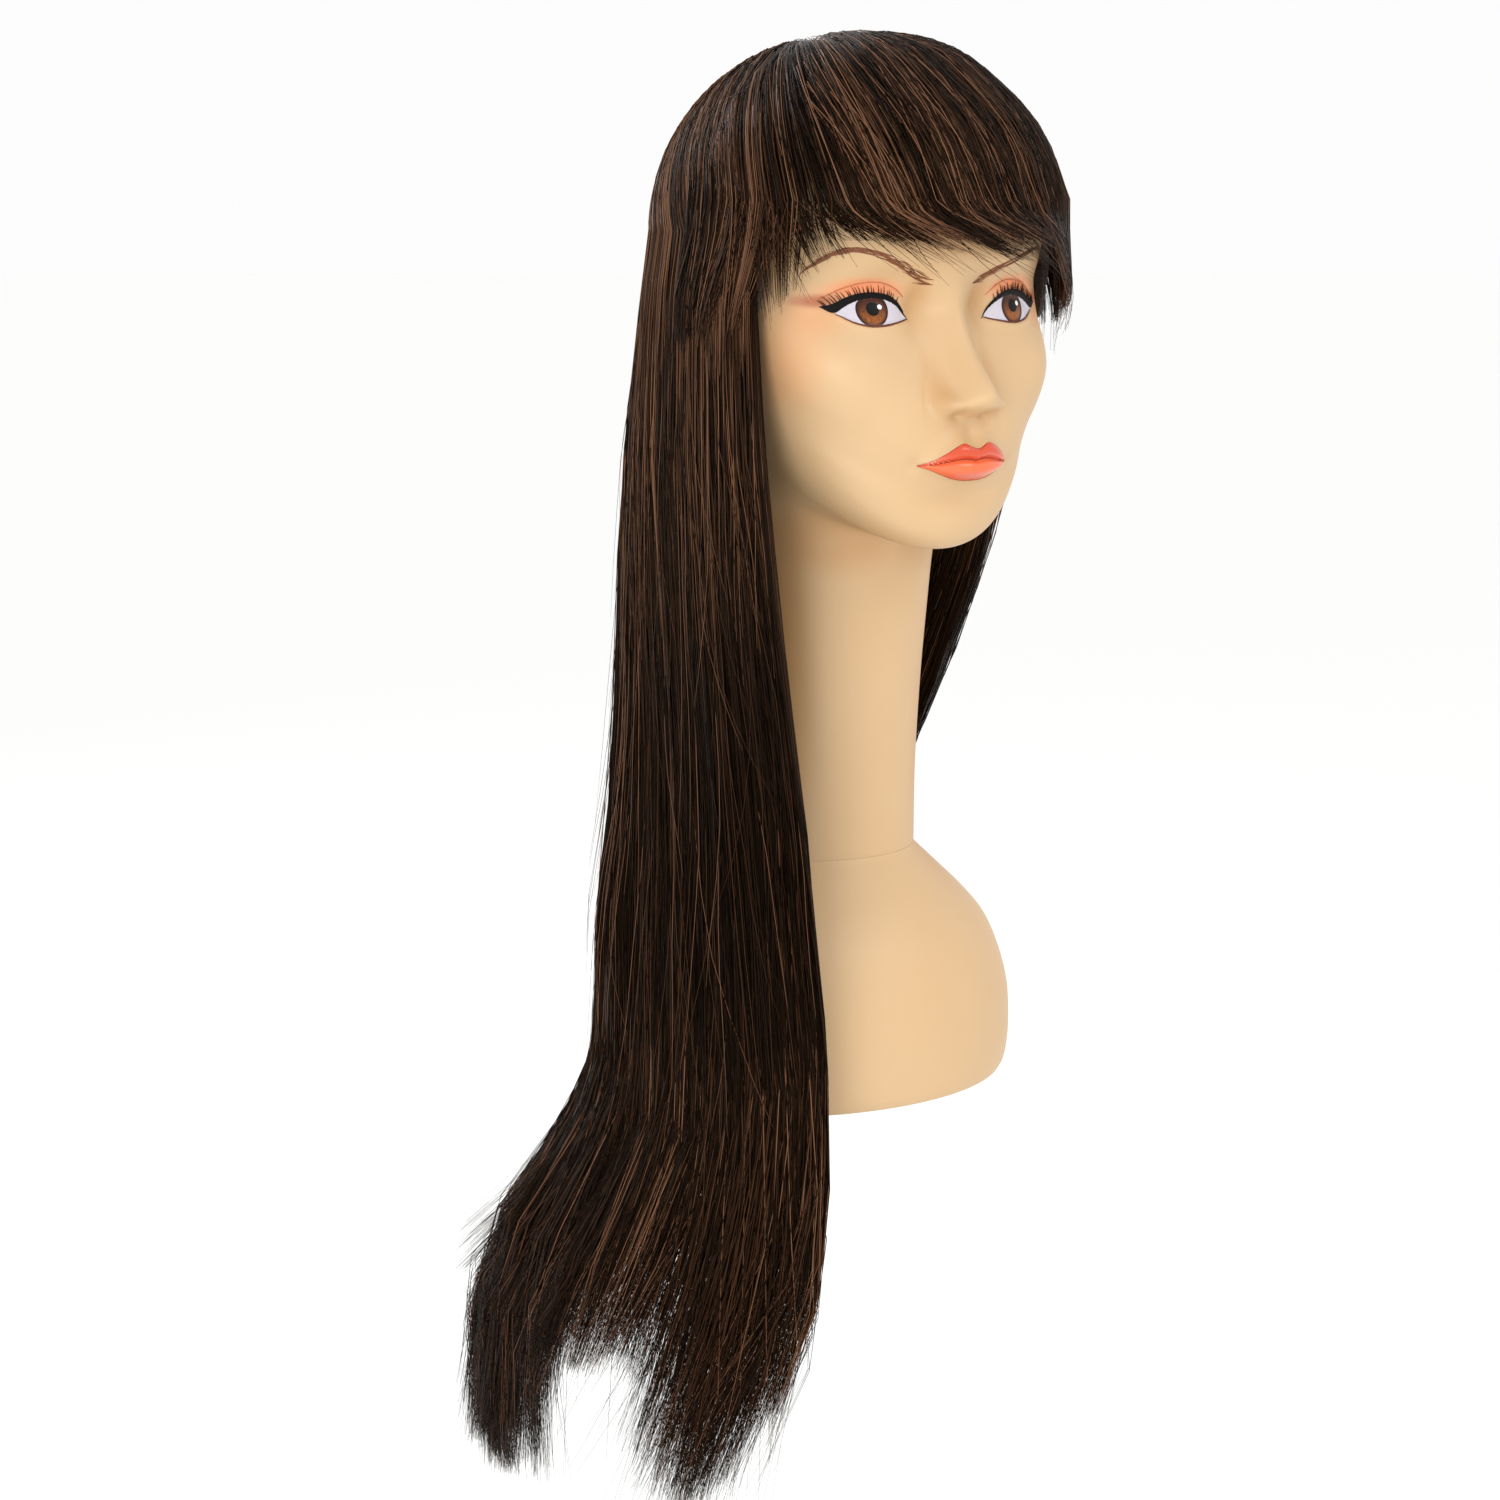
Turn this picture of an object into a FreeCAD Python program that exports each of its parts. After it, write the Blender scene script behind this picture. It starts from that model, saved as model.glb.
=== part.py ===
import FreeCAD, Part
import math
import os
import Sketcher

from FreeCAD import Vector

# Display mannequin head on a long neck, with a long straight wig that lifts off it.
# Frame: +Z up, the face looks along -Y, +X is the mannequin's left.
# The origin is the middle of the pole socket's mouth, in the underside of the bust.

doc = FreeCAD.newDocument("MannequinHead")

# ---------------------------------------------------------------- driving dimensions
SIZES = [
    ("shell_wall", 3.0, "wall of the glass-fibre shells"),
    ("split_y", -18.0, "Y of the plane where front and rear shell meet"),
    ("bust_half_width", 102.0, "half width of the bust"),
    ("bust_half_depth", 84.0, "half depth of the bust"),
    ("bust_forward", 5.0, "distance of the bust's middle in front of the socket"),
    ("neck_radius", 52.0, "radius of the neck at the crease"),
    ("widest_height", 398.0, "height of the skull's widest ring"),
    ("crown_height", 478.0, "top of the bare skull"),
    ("seam_width", 24.0, "width of the glass tape over the inner seam"),
    ("seam_thickness", 1.5, "thickness of the glass tape"),
    ("plate_half_width", 93.0, "half width of the wooden base plate"),
    ("plate_half_depth", 74.0, "half depth of the wooden base plate"),
    ("plate_thickness", 12.0, "thickness of the base plate"),
    ("pad_thickness", 3.0, "thickness of the felt pad and of the socket's flange"),
    ("pad_hole_radius", 29.0, "hole in the felt pad round the flange"),
    ("flange_radius", 28.0, "radius of the socket's flange"),
    ("bore_radius", 8.2, "bore for a 16 mm pole"),
    ("bore_length", 72.0, "depth of the bore"),
    ("socket_radius", 11.5, "outer radius of the socket tube"),
    ("socket_end", 3.0, "closed end of the socket tube"),
    ("screw_circle", 20.0, "radius of the circle of flange screws"),
    ("screw_radius", 1.8, "radius of a screw's shank"),
    ("screw_head_radius", 3.6, "radius of a screw's countersunk head"),
    ("screw_length", 13.0, "length of a screw"),
    ("screw_count", 4, "number of flange screws"),
    ("ear_half_width", 5.0, "ear: half thickness"),
    ("ear_half_depth", 14.0, "ear: half length front to back"),
    ("ear_half_height", 27.0, "ear: half height"),
    ("cap_gap", 0.6, "space between skull and wig cap"),
    ("cap_cloth", 1.2, "thickness of the cap's net"),
    ("skirt_gap", 5.0, "space between skull and the cap below its widest ring"),
    ("band_cloth", 0.9, "thickness of bands, ear tabs and closure"),
    ("hairline_height", 438.0, "height of the hairline on the forehead"),
    ("band_width", 10.0, "width of the hairline band"),
    ("weft_height", 4.0, "height of a weft track"),
    ("weft_pitch", 11.0, "height between weft tracks"),
    ("weft_first", 350.0, "height of the lowest weft track"),
    ("weft_count", 6, "number of weft tracks"),
    ("strap_radius", 58.7, "inner radius of the nape straps"),
    ("strap_cloth", 1.0, "thickness of a nape strap"),
    ("strap_width", 8.0, "width of a nape strap"),
    ("strap_bottom", 342.0, "height of a strap's lower edge"),
    ("strap_near", 15.0, "angle from the back to a strap's free end, degrees"),
    ("strap_far", 48.0, "angle from the back to a strap's sewn end, degrees"),
    ("hook_plate", 1.0, "thickness of a strap hook"),
    ("hook_reach", 4.5, "length of a strap hook along the strap, degrees"),
    ("hair_gap", 4.0, "space between skull and the hair on the dome"),
    ("dome_top", 488.0, "top of the hair"),
    ("fringe_tip", 386.0, "height of the fringe's tips"),
    ("fringe_back", -80.0, "Y where the fringe meets the crown hair"),
    ("curtain_top", 400.0, "height where hanging hair meets the crown hair"),
    ("curtain_thickness", 14.0, "thickness of the hanging hair"),
    ("lock_gap", 0.5, "space between neighbouring locks, degrees"),
]

sheet = doc.addObject("Spreadsheet::Sheet", "Dimensions")
for row, (alias, value, note) in enumerate(SIZES, start=1):
    sheet.set(f"A{row}", note)
    sheet.set(f"B{row}", str(value))
    sheet.setAlias(f"B{row}", alias)
doc.recompute()


def size(alias):
    """Value of one cell of the sheet."""
    return float(sheet.get(alias))


NODES = []


def keep(feature, label):
    """Mark a document object as a finished piece and give it its name."""
    feature.Label = label
    NODES.append(feature)
    return feature


def feature_from(shape, label):
    """A free-form piece whose shape is worked out here."""
    piece = doc.addObject("Part::Feature", label)
    piece.Shape = shape
    return keep(piece, label)


# ---------------------------------------------------------------- closed outlines
OUTLINE_POINTS = 24


def outline(z, middle, half, front, back, fullness=2.0, offset=0.0):
    """Closed smooth ring at height z: half width, length to the front and to the back of
    Y = middle, all grown by offset. A fullness of 2 is an ellipse, and more is squarer."""
    half, front, back = half + offset, front + offset, back + offset
    points = []
    for step in range(OUTLINE_POINTS):
        angle = 2.0 * math.pi * step / OUTLINE_POINTS
        sine, cosine = math.sin(angle), math.cos(angle)
        length = front if cosine > 0.0 else back
        full = fullness if cosine > 0.0 else 2.0
        reach = (abs(sine) / half) ** full + (abs(cosine) / length) ** full
        radius = reach ** (-1.0 / full)
        points.append(Vector(radius * sine, middle - radius * cosine, z))
    curve = Part.BSplineCurve()
    curve.interpolate(points, PeriodicFlag=True)
    return Part.Wire([curve.toShape()])


def refined(rows, parts=2):
    """The same rows with more between them, on a smooth curve through them."""
    result = []
    for number in range(len(rows) - 1):
        before, here = rows[max(number - 1, 0)], rows[number]
        after, beyond = rows[number + 1], rows[min(number + 2, len(rows) - 1)]
        for part in range(parts):
            share = part / parts
            squared, cubed = share ** 2, share ** 3
            result.append(tuple(
                h * (2 * cubed - 3 * squared + 1) + a * (3 * squared - 2 * cubed)
                + 0.5 * (a - b) * (cubed - 2 * squared + share) + 0.5 * (e - h) * (cubed - squared)
                for b, h, a, e in zip(before, here, after, beyond)))
    return result + [tuple(rows[-1])]


def loft(rings):
    """Solid through closed rings, straight from each ring to the next."""
    return Part.makeLoft(rings, True, True)


def half_space(axis, low, high):
    """A large box between two values of one axis."""
    reach = 600.0
    lows = [-reach, -reach, -reach]
    sides = [2.0 * reach, 2.0 * reach, 2.0 * reach]
    lows[axis] = low
    sides[axis] = high - low
    return Part.makeBox(*sides, Vector(*lows))


# ---------------------------------------------------------------- the bare mannequin
# Share of the full flare of the bust at each height, from the underside to the crease.
FLARE = [(0.0, 0.90), (4.0, 0.955), (11.0, 0.985), (22.0, 1.0), (40.0, 0.98), (57.0, 0.89),
         (73.0, 0.745), (86.0, 0.53), (98.0, 0.28), (112.0, 0.0)]

# Neck: height, Y of its middle, radius.
NECK = [(112.0, 0.0, 52.0), (150.0, -2.5, 50.8), (190.0, -7.0, 50.0), (230.0, -12.0, 50.0),
        (270.0, -18.0, 50.5), (310.0, -22.0, 50.5), (346.0, -25.0, 49.0)]

# Head: height, middle Y, half width, length to the front, length to the back, fullness.
HEAD = [(259.0, -90.0, 13.0, 11.0, 12.0, 2.0),
        (265.0, -88.0, 28.0, 23.0, 26.0, 2.1),
        (278.0, -78.0, 44.0, 36.0, 40.0, 2.2),
        (300.0, -64.0, 60.0, 50.0, 54.0, 2.3),
        (325.0, -53.0, 70.0, 60.0, 68.0, 2.5),
        (350.0, -45.0, 75.0, 66.0, 85.0, 2.6),
        (375.0, -42.0, 76.5, 66.0, 96.0, 2.6),
        (398.0, -42.0, 77.0, 76.0, 98.5, 2.6),
        (421.0, -42.0, 75.0, 79.0, 97.5, 2.5),
        (444.0, -40.0, 66.0, 71.0, 89.0, 2.3),
        (461.0, -37.0, 50.0, 55.0, 70.0, 2.1),
        (471.0, -34.5, 33.0, 36.0, 46.0, 2.0),
        (476.0, -33.0, 17.0, 18.0, 23.0, 2.0)]

# Nose: height, half width, Y of its front.
NOSE = [(372.0, 4.0, -114.0), (352.0, 6.5, -124.0), (336.0, 9.5, -136.0), (327.0, 12.5, -136.0),
        (321.0, 11.0, -125.0)]


def bust_ring(z, share, inset):
    """One ring of the bust, whose flare and forward lean follow the share."""
    radius = size("neck_radius")
    half = radius + (size("bust_half_width") - radius) * share
    deep = radius + (size("bust_half_depth") - radius) * share
    return outline(z, -size("bust_forward") * share, half, deep, deep, 2.0, -inset)


def bust_solid(inset):
    """Bust below the neck. An inset one is the room inside, open at the underside."""
    body = loft([bust_ring(z, share, inset) for z, share in refined(FLARE)])
    if inset > 0.0:
        share = FLARE[0][1]
        body = body.fuse(loft([bust_ring(z, share, inset) for z in (-2.0, 0.0)]))
    return body


def neck_solid(inset):
    return loft([outline(z, y, r - inset, r - inset, r - inset) for z, y, r in NECK])


def head_solid(inset):
    """Head without nose and ears. The crown closes in one point."""
    rings = [outline(z, y, half, front, back, full, -inset)
             for z, y, half, front, back, full in refined(HEAD)]
    top = Part.Vertex(Vector(0.0, -33.0, size("crown_height") - inset))
    return loft(rings + [top])


def nose_solid():
    rings = []
    for z, half, front in refined(NOSE):
        rings.append(outline(z, -104.0, half, -104.0 - front, 10.0))
    return loft(rings)


def ear_solid(side):
    """One ear: a flattened ball, leaning back a little."""
    matrix = FreeCAD.Matrix()
    matrix.scale(size("ear_half_width"), size("ear_half_depth"), size("ear_half_height"))
    ball = Part.makeSphere(1.0).transformGeometry(matrix)
    ball.rotate(Vector(0, 0, 0), Vector(1, 0, 0), -12.0)
    ball.translate(Vector(side * 77.5, -37.0, 356.0))
    return ball


wall = size("shell_wall")
outer_skin = bust_solid(0.0).fuse([neck_solid(0.0), head_solid(0.0), nose_solid(),
                                        ear_solid(-1.0), ear_solid(1.0)])
inner_room = bust_solid(wall).fuse([neck_solid(wall), head_solid(wall)])
hollow = outer_skin.cut(inner_room)
split = size("split_y")
feature_from(hollow.common(half_space(1, -600.0, split)), "front_shell")
feature_from(hollow.common(half_space(1, split, 600.0)), "rear_shell")

tape = size("seam_thickness")
lining = inner_room.cut(bust_solid(wall + tape).fuse([neck_solid(wall + tape),
                                                           head_solid(wall + tape)]))
tape_low = size("pad_thickness") + size("plate_thickness") + 1.0
seam = lining.common(half_space(1, split - size("seam_width") / 2.0,
                                split + size("seam_width") / 2.0))
feature_from(seam.common(half_space(2, tape_low, 600.0)), "seam_tape")


# ---------------------------------------------------------------- base plate, pad and socket
def bound(type_name, name, **sizes):
    """A document object whose properties follow expressions of the sheet."""
    piece = doc.addObject(type_name, name)
    for prop, expression in sizes.items():
        piece.setExpression(prop, expression)
    return piece


def moved(piece, x=0.0, y=0.0, z=0.0, turn=0.0):
    """Place a primitive: shift, and turn about the vertical."""
    piece.Placement = FreeCAD.Placement(Vector(x, y, z),
                                        FreeCAD.Rotation(Vector(0, 0, 1), turn))
    return piece


def cut(base, tool, name):
    piece = doc.addObject("Part::Cut", name)
    piece.Base, piece.Tool = base, tool
    return piece


def oval(name, half_width, half_depth, thickness):
    """An oval slab standing on Z = 0, under the middle of the bust."""
    rim = bound("Part::Ellipse", name + "Rim", MajorRadius=half_width, MinorRadius=half_depth)
    moved(rim, y=-size("bust_forward"))
    slab = bound("Part::Extrusion", name + "Slab", LengthFwd=thickness)
    slab.Base, slab.Dir, slab.DirMode, slab.Solid = rim, Vector(0, 0, 1), "Custom", True
    return slab


pad_hole = bound("Part::Cylinder", "PadHole", Radius="<<Dimensions>>.pad_hole_radius",
                 Height="<<Dimensions>>.pad_thickness * 3")
moved(pad_hole, z=-size("pad_thickness"))
pad_slab = oval("Pad", "<<Dimensions>>.plate_half_width - 1",
                "<<Dimensions>>.plate_half_depth - 1", "<<Dimensions>>.pad_thickness")
keep(cut(pad_slab, pad_hole, "FeltPad"), "felt_pad")


def body_with_plane(name):
    body = doc.addObject("PartDesign::Body", name)
    floor = next(item for item in body.Origin.OriginFeatures if item.Role == "XY_Plane")
    return body, floor


def round_sketch(body, floor, name, circles):
    """A sketch of circles, each (x, y, expression of its radius), on the body's floor."""
    sketch = body.newObject("Sketcher::SketchObject", name)
    sketch.AttachmentSupport, sketch.MapMode = [(floor, "")], "FlatFace"
    for x, y, expression in circles:
        ring = sketch.addGeometry(Part.Circle(Vector(x, y, 0), Vector(0, 0, 1), 1.0))
        sketch.addConstraint(Sketcher.Constraint("DistanceX", -1, 1, ring, 3, x))
        sketch.addConstraint(Sketcher.Constraint("DistanceY", -1, 1, ring, 3, y))
        number = sketch.addConstraint(Sketcher.Constraint("Radius", ring, 1.0))
        sketch.setExpression(f"Constraints[{number}]", expression)
    return sketch


def extruded(body, kind, name, sketch, length):
    feature = body.newObject(kind, name)
    feature.Profile = sketch
    feature.setExpression("Length", length)
    return feature


def screw_places():
    """Middles of the flange screws, evenly round their circle."""
    count = int(size("screw_count"))
    for number in range(count):
        angle = math.radians(45.0) + 2.0 * math.pi * number / count
        yield size("screw_circle") * math.cos(angle), size("screw_circle") * math.sin(angle)


shank = "<<Dimensions>>.screw_radius"
tube_length = "<<Dimensions>>.bore_length + <<Dimensions>>.socket_end"

socket, socket_floor = body_with_plane("PoleSocket")
flange = round_sketch(socket, socket_floor, "FlangeSketch",
                      [(0.0, 0.0, "<<Dimensions>>.flange_radius")]
                      + [(x, y, "<<Dimensions>>.screw_head_radius") for x, y in screw_places()])
extruded(socket, "PartDesign::Pad", "Flange", flange, "<<Dimensions>>.pad_thickness")
tube = round_sketch(socket, socket_floor, "TubeSketch",
                    [(0.0, 0.0, "<<Dimensions>>.socket_radius")])
extruded(socket, "PartDesign::Pad", "Tube", tube, tube_length)
bore = round_sketch(socket, socket_floor, "BoreSketch", [(0.0, 0.0, "<<Dimensions>>.bore_radius")])
bore_cut = extruded(socket, "PartDesign::Pocket", "Bore", bore, "<<Dimensions>>.bore_length")
bore_cut.Reversed = True
keep(socket, "pole_socket")

plate_slab = oval("Plate", "<<Dimensions>>.plate_half_width", "<<Dimensions>>.plate_half_depth",
                  "<<Dimensions>>.plate_thickness")
drills = [moved(bound("Part::Cylinder", "PlateBore", Radius="<<Dimensions>>.socket_radius",
                      Height="<<Dimensions>>.plate_thickness * 3"),
                z=-size("plate_thickness"))]
screws = []
for number, (x, y) in enumerate(screw_places(), start=1):
    drills.append(moved(bound("Part::Cylinder", f"Pilot{number}", Radius=shank,
                              Height="<<Dimensions>>.screw_length"), x, y,
                        -size("pad_thickness")))
    head = bound("Part::Cylinder", f"ScrewHead{number}",
                 Radius="<<Dimensions>>.screw_head_radius", Height="<<Dimensions>>.pad_thickness")
    stem = bound("Part::Cylinder", f"ScrewStem{number}", Radius=shank,
                 Height="<<Dimensions>>.screw_length")
    screw = doc.addObject("Part::Fuse", f"Screw{number}")
    screw.Base, screw.Tool = moved(head, x, y), moved(stem, x, y)
    screws.append(screw)
all_drills = doc.addObject("Part::MultiFuse", "PlateDrills")
all_drills.Shapes = drills
plate = moved(cut(plate_slab, all_drills, "BasePlate"), z=size("pad_thickness"))
keep(plate, "base_plate")
screw_group = doc.addObject("Part::Compound", "SocketScrews")
screw_group.Links = screws
keep(screw_group, "socket_screws")


# ---------------------------------------------------------------- wig cap and what is sewn to it
def cap_solid(offset):
    """Solid under the cap's outer side. Below the skull's widest ring it hangs straight, so
    that the wig lifts off without catching."""
    widest = next(ring for ring in HEAD if ring[0] == size("widest_height"))
    steps = [(330.0, 1.0), (360.0, 1.0), (385.0, 1.0), (392.0, 0.6)]
    slack = size("skirt_gap") - size("cap_gap")
    rings = [outline(z, *widest[1:], size("cap_gap") + slack * share + offset)
             for z, share in steps]
    rings += [outline(*ring, size("cap_gap") + offset) for ring in refined(HEAD) if ring[0] >= widest[0]]
    top = size("crown_height") + size("cap_gap") + offset
    return loft(rings + [Part.Vertex(Vector(0.0, -33.0, top))])


def side_prism(points, low=-200.0, high=200.0):
    """A prism along X over an outline of (Y, Z) points."""
    corners = [Vector(low, y, z) for y, z in points]
    face = Part.Face(Part.makePolygon(corners + corners[:1]))
    return face.extrude(Vector(high - low, 0, 0))


cap_net = size("cap_cloth")
cap_under, cap_over = cap_solid(0.0), cap_solid(cap_net)
band_over = cap_solid(cap_net + size("band_cloth"))
stay_over = cap_solid(cap_net + 1.5 * size("band_cloth"))
cap_layer = cap_over.cut(cap_under)
band_layer = band_over.cut(cap_over)
stay_layer = stay_over.cut(band_over)

brow = size("hairline_height")
band = size("band_width")
# Edge of the cap seen from the side: hairline, temple, ear tab, ear opening, nape.
FRONT_EDGE = [(-150.0, brow), (-112.0, brow), (-98.0, brow - 8.0), (-86.0, brow - 28.0),
              (-80.0, brow - 48.0), (-77.0, 374.5)]
CAP_EDGE = FRONT_EDGE + [(-72.0, 360.0), (-60.0, 357.0), (-54.0, 366.0), (-50.0, 384.0),
                         (-40.0, 395.0), (-26.0, 395.0), (-14.0, 384.0), (-4.0, 362.0),
                         (12.0, 345.0), (34.0, 338.0), (110.0, 338.0)]
below_cap = side_prism(CAP_EDGE + [(110.0, 300.0), (-150.0, 300.0)])
feature_from(cap_layer.cut(below_cap), "wig_cap")

band_region = FRONT_EDGE + [(-66.0, 374.5), (-69.0, brow - 46.0), (-76.0, brow - 24.0),
                            (-91.0, brow + 1.0), (-108.0, brow + band), (-150.0, brow + band)]
feature_from(band_layer.common(side_prism(band_region)), "hairline_band")
nape_region = [(16.0, 344.0), (34.0, 338.5), (110.0, 338.5), (110.0, 348.0), (16.0, 348.0)]
feature_from(band_layer.common(side_prism(nape_region)), "nape_band")

TAB = [(-76.5, 374.0), (-72.0, 361.0), (-60.0, 358.0), (-54.5, 367.0), (-51.5, 384.0),
       (-52.0, 394.0), (-65.5, 394.0), (-65.5, 374.0)]
STAY = [(-64.0, 362.0), (-60.0, 362.0), (-56.0, 392.0), (-60.0, 392.0)]
for side, low, high in (("left", 20.0, 200.0), ("right", -200.0, -20.0)):
    feature_from(band_layer.common(side_prism(TAB, low, high)), f"ear_tab_{side}")
    feature_from(stay_layer.common(side_prism(STAY, low, high)), f"ear_stay_{side}")

closure = Part.makeCylinder(27.0, 100.0, Vector(0, -36.0, 430.0))
feature_from(band_layer.common(closure), "crown_closure")

# Each weft track runs from behind the ear round the back: Y of its two ends.
WEFT_STARTS = [18.0, 3.0, -3.0, -8.0, -18.0, -50.0]
for number in range(int(size("weft_count"))):
    low = size("weft_first") + number * size("weft_pitch")
    high = low + size("weft_height")
    start = WEFT_STARTS[number]
    row = side_prism([(start, low), (110.0, low), (110.0, high), (start, high)])
    feature_from(band_layer.common(row), f"weft_track_{number + 1}")


# ---------------------------------------------------------------- nape straps
def arc_plate(name, inner, thickness, low, height, start, sweep):
    """A curved plate about the vertical through the nape's middle. start is the angle from
    +Y of its clockwise end, in degrees."""
    whole = bound("Part::Cylinder", name + "Outer", Radius=f"{inner} + {thickness}",
                  Height=height, Angle=sweep)
    core = bound("Part::Cylinder", name + "Inner", Radius=inner, Height=height, Angle=sweep)
    piece = cut(whole, core, name)
    return moved(piece, z=low, turn=90.0 + start)


strap_sweep = "<<Dimensions>>.strap_far - <<Dimensions>>.strap_near"
hook_sweep = "<<Dimensions>>.hook_reach"
for side, start, hook_start in (
        ("right", size("strap_near"), size("strap_near") - size("hook_reach")),
        ("left", -size("strap_far"), -size("strap_near"))):
    keep(arc_plate(f"Strap{side.title()}", "<<Dimensions>>.strap_radius",
                   "<<Dimensions>>.strap_cloth", size("strap_bottom"),
                   "<<Dimensions>>.strap_width", start, strap_sweep), f"strap_{side}")
    keep(arc_plate(f"Hook{side.title()}", "<<Dimensions>>.strap_radius",
                   "<<Dimensions>>.hook_plate", size("strap_bottom") + 1.0,
                   "<<Dimensions>>.strap_width - 2", hook_start, hook_sweep), f"hook_{side}")

loops = []
for angle in (-9.0, -6.0, -3.0, 3.0, 6.0, 9.0):
    name = f"Loop{len(loops) + 1}"
    loops.append(arc_plate(name, "<<Dimensions>>.strap_radius + 1.4", "0.8",
                           size("strap_bottom"), "<<Dimensions>>.strap_width", angle - 0.5,
                           "1"))
loop_group = doc.addObject("Part::Compound", "HookLoops")
loop_group.Links = loops
keep(loop_group, "hook_loops")

# ---------------------------------------------------------------- hair on the dome
# Outer side of the hair: height, middle Y, half width, to the front, to the back, fullness.
HAIR = [(380.0, -42.0, 87.5, 94.0, 109.0, 2.4), (400.0, -42.0, 87.5, 94.0, 110.0, 2.4),
        (421.0, -42.0, 86.0, 93.0, 109.0, 2.4), (444.0, -40.0, 77.0, 85.0, 99.0, 2.3),
        (461.0, -38.0, 63.0, 71.0, 84.0, 2.1), (475.0, -35.0, 44.0, 50.0, 60.0, 2.0),
        (483.5, -33.0, 26.0, 29.0, 35.0, 2.0), (487.0, -33.0, 11.0, 12.0, 15.0, 2.0)]


def dome_room():
    """Room under the dome hair. Below the skull's widest ring it hangs straight."""
    widest = next(ring for ring in HEAD if ring[0] == size("widest_height"))
    gap = size("hair_gap")
    rings = [outline(z, *widest[1:], gap) for z in (376.0, 388.0)]
    rings += [outline(*ring, gap) for ring in refined(HEAD) if ring[0] >= widest[0]]
    return loft(rings + [Part.Vertex(Vector(0.0, -33.0, size("crown_height") + gap))])


dome = loft([outline(*ring) for ring in refined(HAIR)] + [Part.Vertex(Vector(0, -33, size("dome_top")))])
dome_hair = dome.cut(dome_room())
meeting = size("fringe_back")
crown = dome_hair.common(half_space(1, meeting, 600.0))
feature_from(crown.common(half_space(2, size("curtain_top"), 600.0)), "crown_hair")
fringe = dome_hair.common(half_space(1, -600.0, meeting - 0.3))
fringe = fringe.common(half_space(2, size("fringe_tip"), 600.0))
corners = half_space(2, 0.0, size("curtain_top") + 0.3).common(half_space(1, -100.0, 600.0))
feature_from(fringe.cut(corners), "fringe_hair")

# ---------------------------------------------------------------- hanging hair
# Inner side of the hair: height, middle Y, half width, to the front, to the back, thickness
# as a share, first and last angle from the back (degrees, positive to the right), and drift.
CURTAIN = [(399.5, -42.0, 84.8, 88.5, 106.0, 0.22, -109.0, 112.0, 0.0),
           (375.0, -42.0, 87.2, 89.8, 108.0, 0.45, -110.0, 114.0, 0.0),
           (300.0, -40.0, 87.0, 92.0, 111.0, 0.95, -98.0, 119.0, 0.0),
           (240.0, -36.0, 87.5, 94.0, 108.0, 1.00, -84.0, 125.0, 0.0),
           (179.0, -30.0, 88.0, 96.0, 104.0, 1.00, -68.0, 131.0, 0.0),
           (131.0, -22.0, 91.0, 101.0, 99.0, 1.00, -58.0, 138.0, 0.0),
           (84.0, -12.0, 99.0, 107.0, 94.0, 0.90, -44.0, 146.0, 0.0),
           (57.0, -5.0, 104.5, 108.0, 87.5, 0.70, -42.0, 150.0, 1.0),
           (22.0, -5.0, 105.0, 109.0, 87.5, 0.68, -42.0, 152.0, 3.0),
           (-22.0, -5.0, 105.0, 109.0, 87.5, 0.75, -42.0, 153.0, 10.0),
           (-65.0, -5.0, 105.0, 109.0, 87.5, 0.80, -41.0, 153.0, 24.0),
           (-100.0, -5.0, 104.0, 108.0, 87.5, 0.80, -40.0, 152.0, 38.0),
           (-150.0, -5.0, 104.0, 106.0, 87.5, 0.50, -37.0, 148.0, 48.0),
           (-192.0, -5.0, 104.0, 104.0, 87.5, 0.20, -33.0, 143.0, 46.0)]
DRIFT = Vector(-0.82, 0.57, 0.0)


def hair_point(ring, share, depth):
    """A point of the hanging hair: share runs from its left edge to its right edge, and depth
    from the inner side, 0, to the outer side, 1. The drift fades towards the right edge."""
    z, middle, half, front, back, thick, first, last, drift = ring
    angle = math.radians(first + (last - first) * share)
    grow = size("curtain_thickness") * thick * depth
    length = (back if math.cos(angle) > 0.0 else front) + grow
    reach = (abs(math.sin(angle)) / (half + grow)) ** 2.3 + (abs(math.cos(angle)) / length) ** 2.3
    radius = reach ** (-1.0 / 2.3)
    slide = drift * (1.0 - 0.8 * share ** 4)
    return Vector(-radius * math.sin(angle) + DRIFT.x * slide,
                  middle + radius * math.cos(angle) + DRIFT.y * slide, z)


def lock_section(ring, begin, end):
    """Closed outline of one lock at one height."""
    steps = 7
    shares = [begin + (end - begin) * step / (steps - 1) for step in range(steps)]
    inner = Part.BSplineCurve()
    inner.interpolate([hair_point(ring, share, 0.0) for share in shares])
    outer = Part.BSplineCurve()
    outer.interpolate([hair_point(ring, share, 1.0) for share in reversed(shares)])
    ends = [Part.LineSegment(hair_point(ring, end, 0.0), hair_point(ring, end, 1.0)),
            Part.LineSegment(hair_point(ring, begin, 1.0), hair_point(ring, begin, 0.0))]
    return Part.Wire([inner.toShape(), ends[0].toShape(), outer.toShape(), ends[1].toShape()])


def lock(begin, end, bottom):
    """Hanging hair between two shares of its width, down to its ends."""
    gap = 0.5 * size("lock_gap") / 200.0
    rings = [ring for ring in refined(CURTAIN) if ring[0] >= bottom]
    return loft([lock_section(ring, begin + gap, end - gap) for ring in rings])


LOCKS = [("left_side_hair", 0.00, 0.17, -150.0), ("left_back_hair", 0.17, 0.36, -192.0),
         ("back_hair", 0.36, 0.54, -192.0), ("right_back_hair", 0.54, 0.71, -192.0),
         ("right_side_hair", 0.71, 0.86, -192.0), ("right_front_hair", 0.86, 1.00, -150.0)]
for name, begin, end, bottom in LOCKS:
    feature_from(lock(begin, end, bottom), name)

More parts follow.
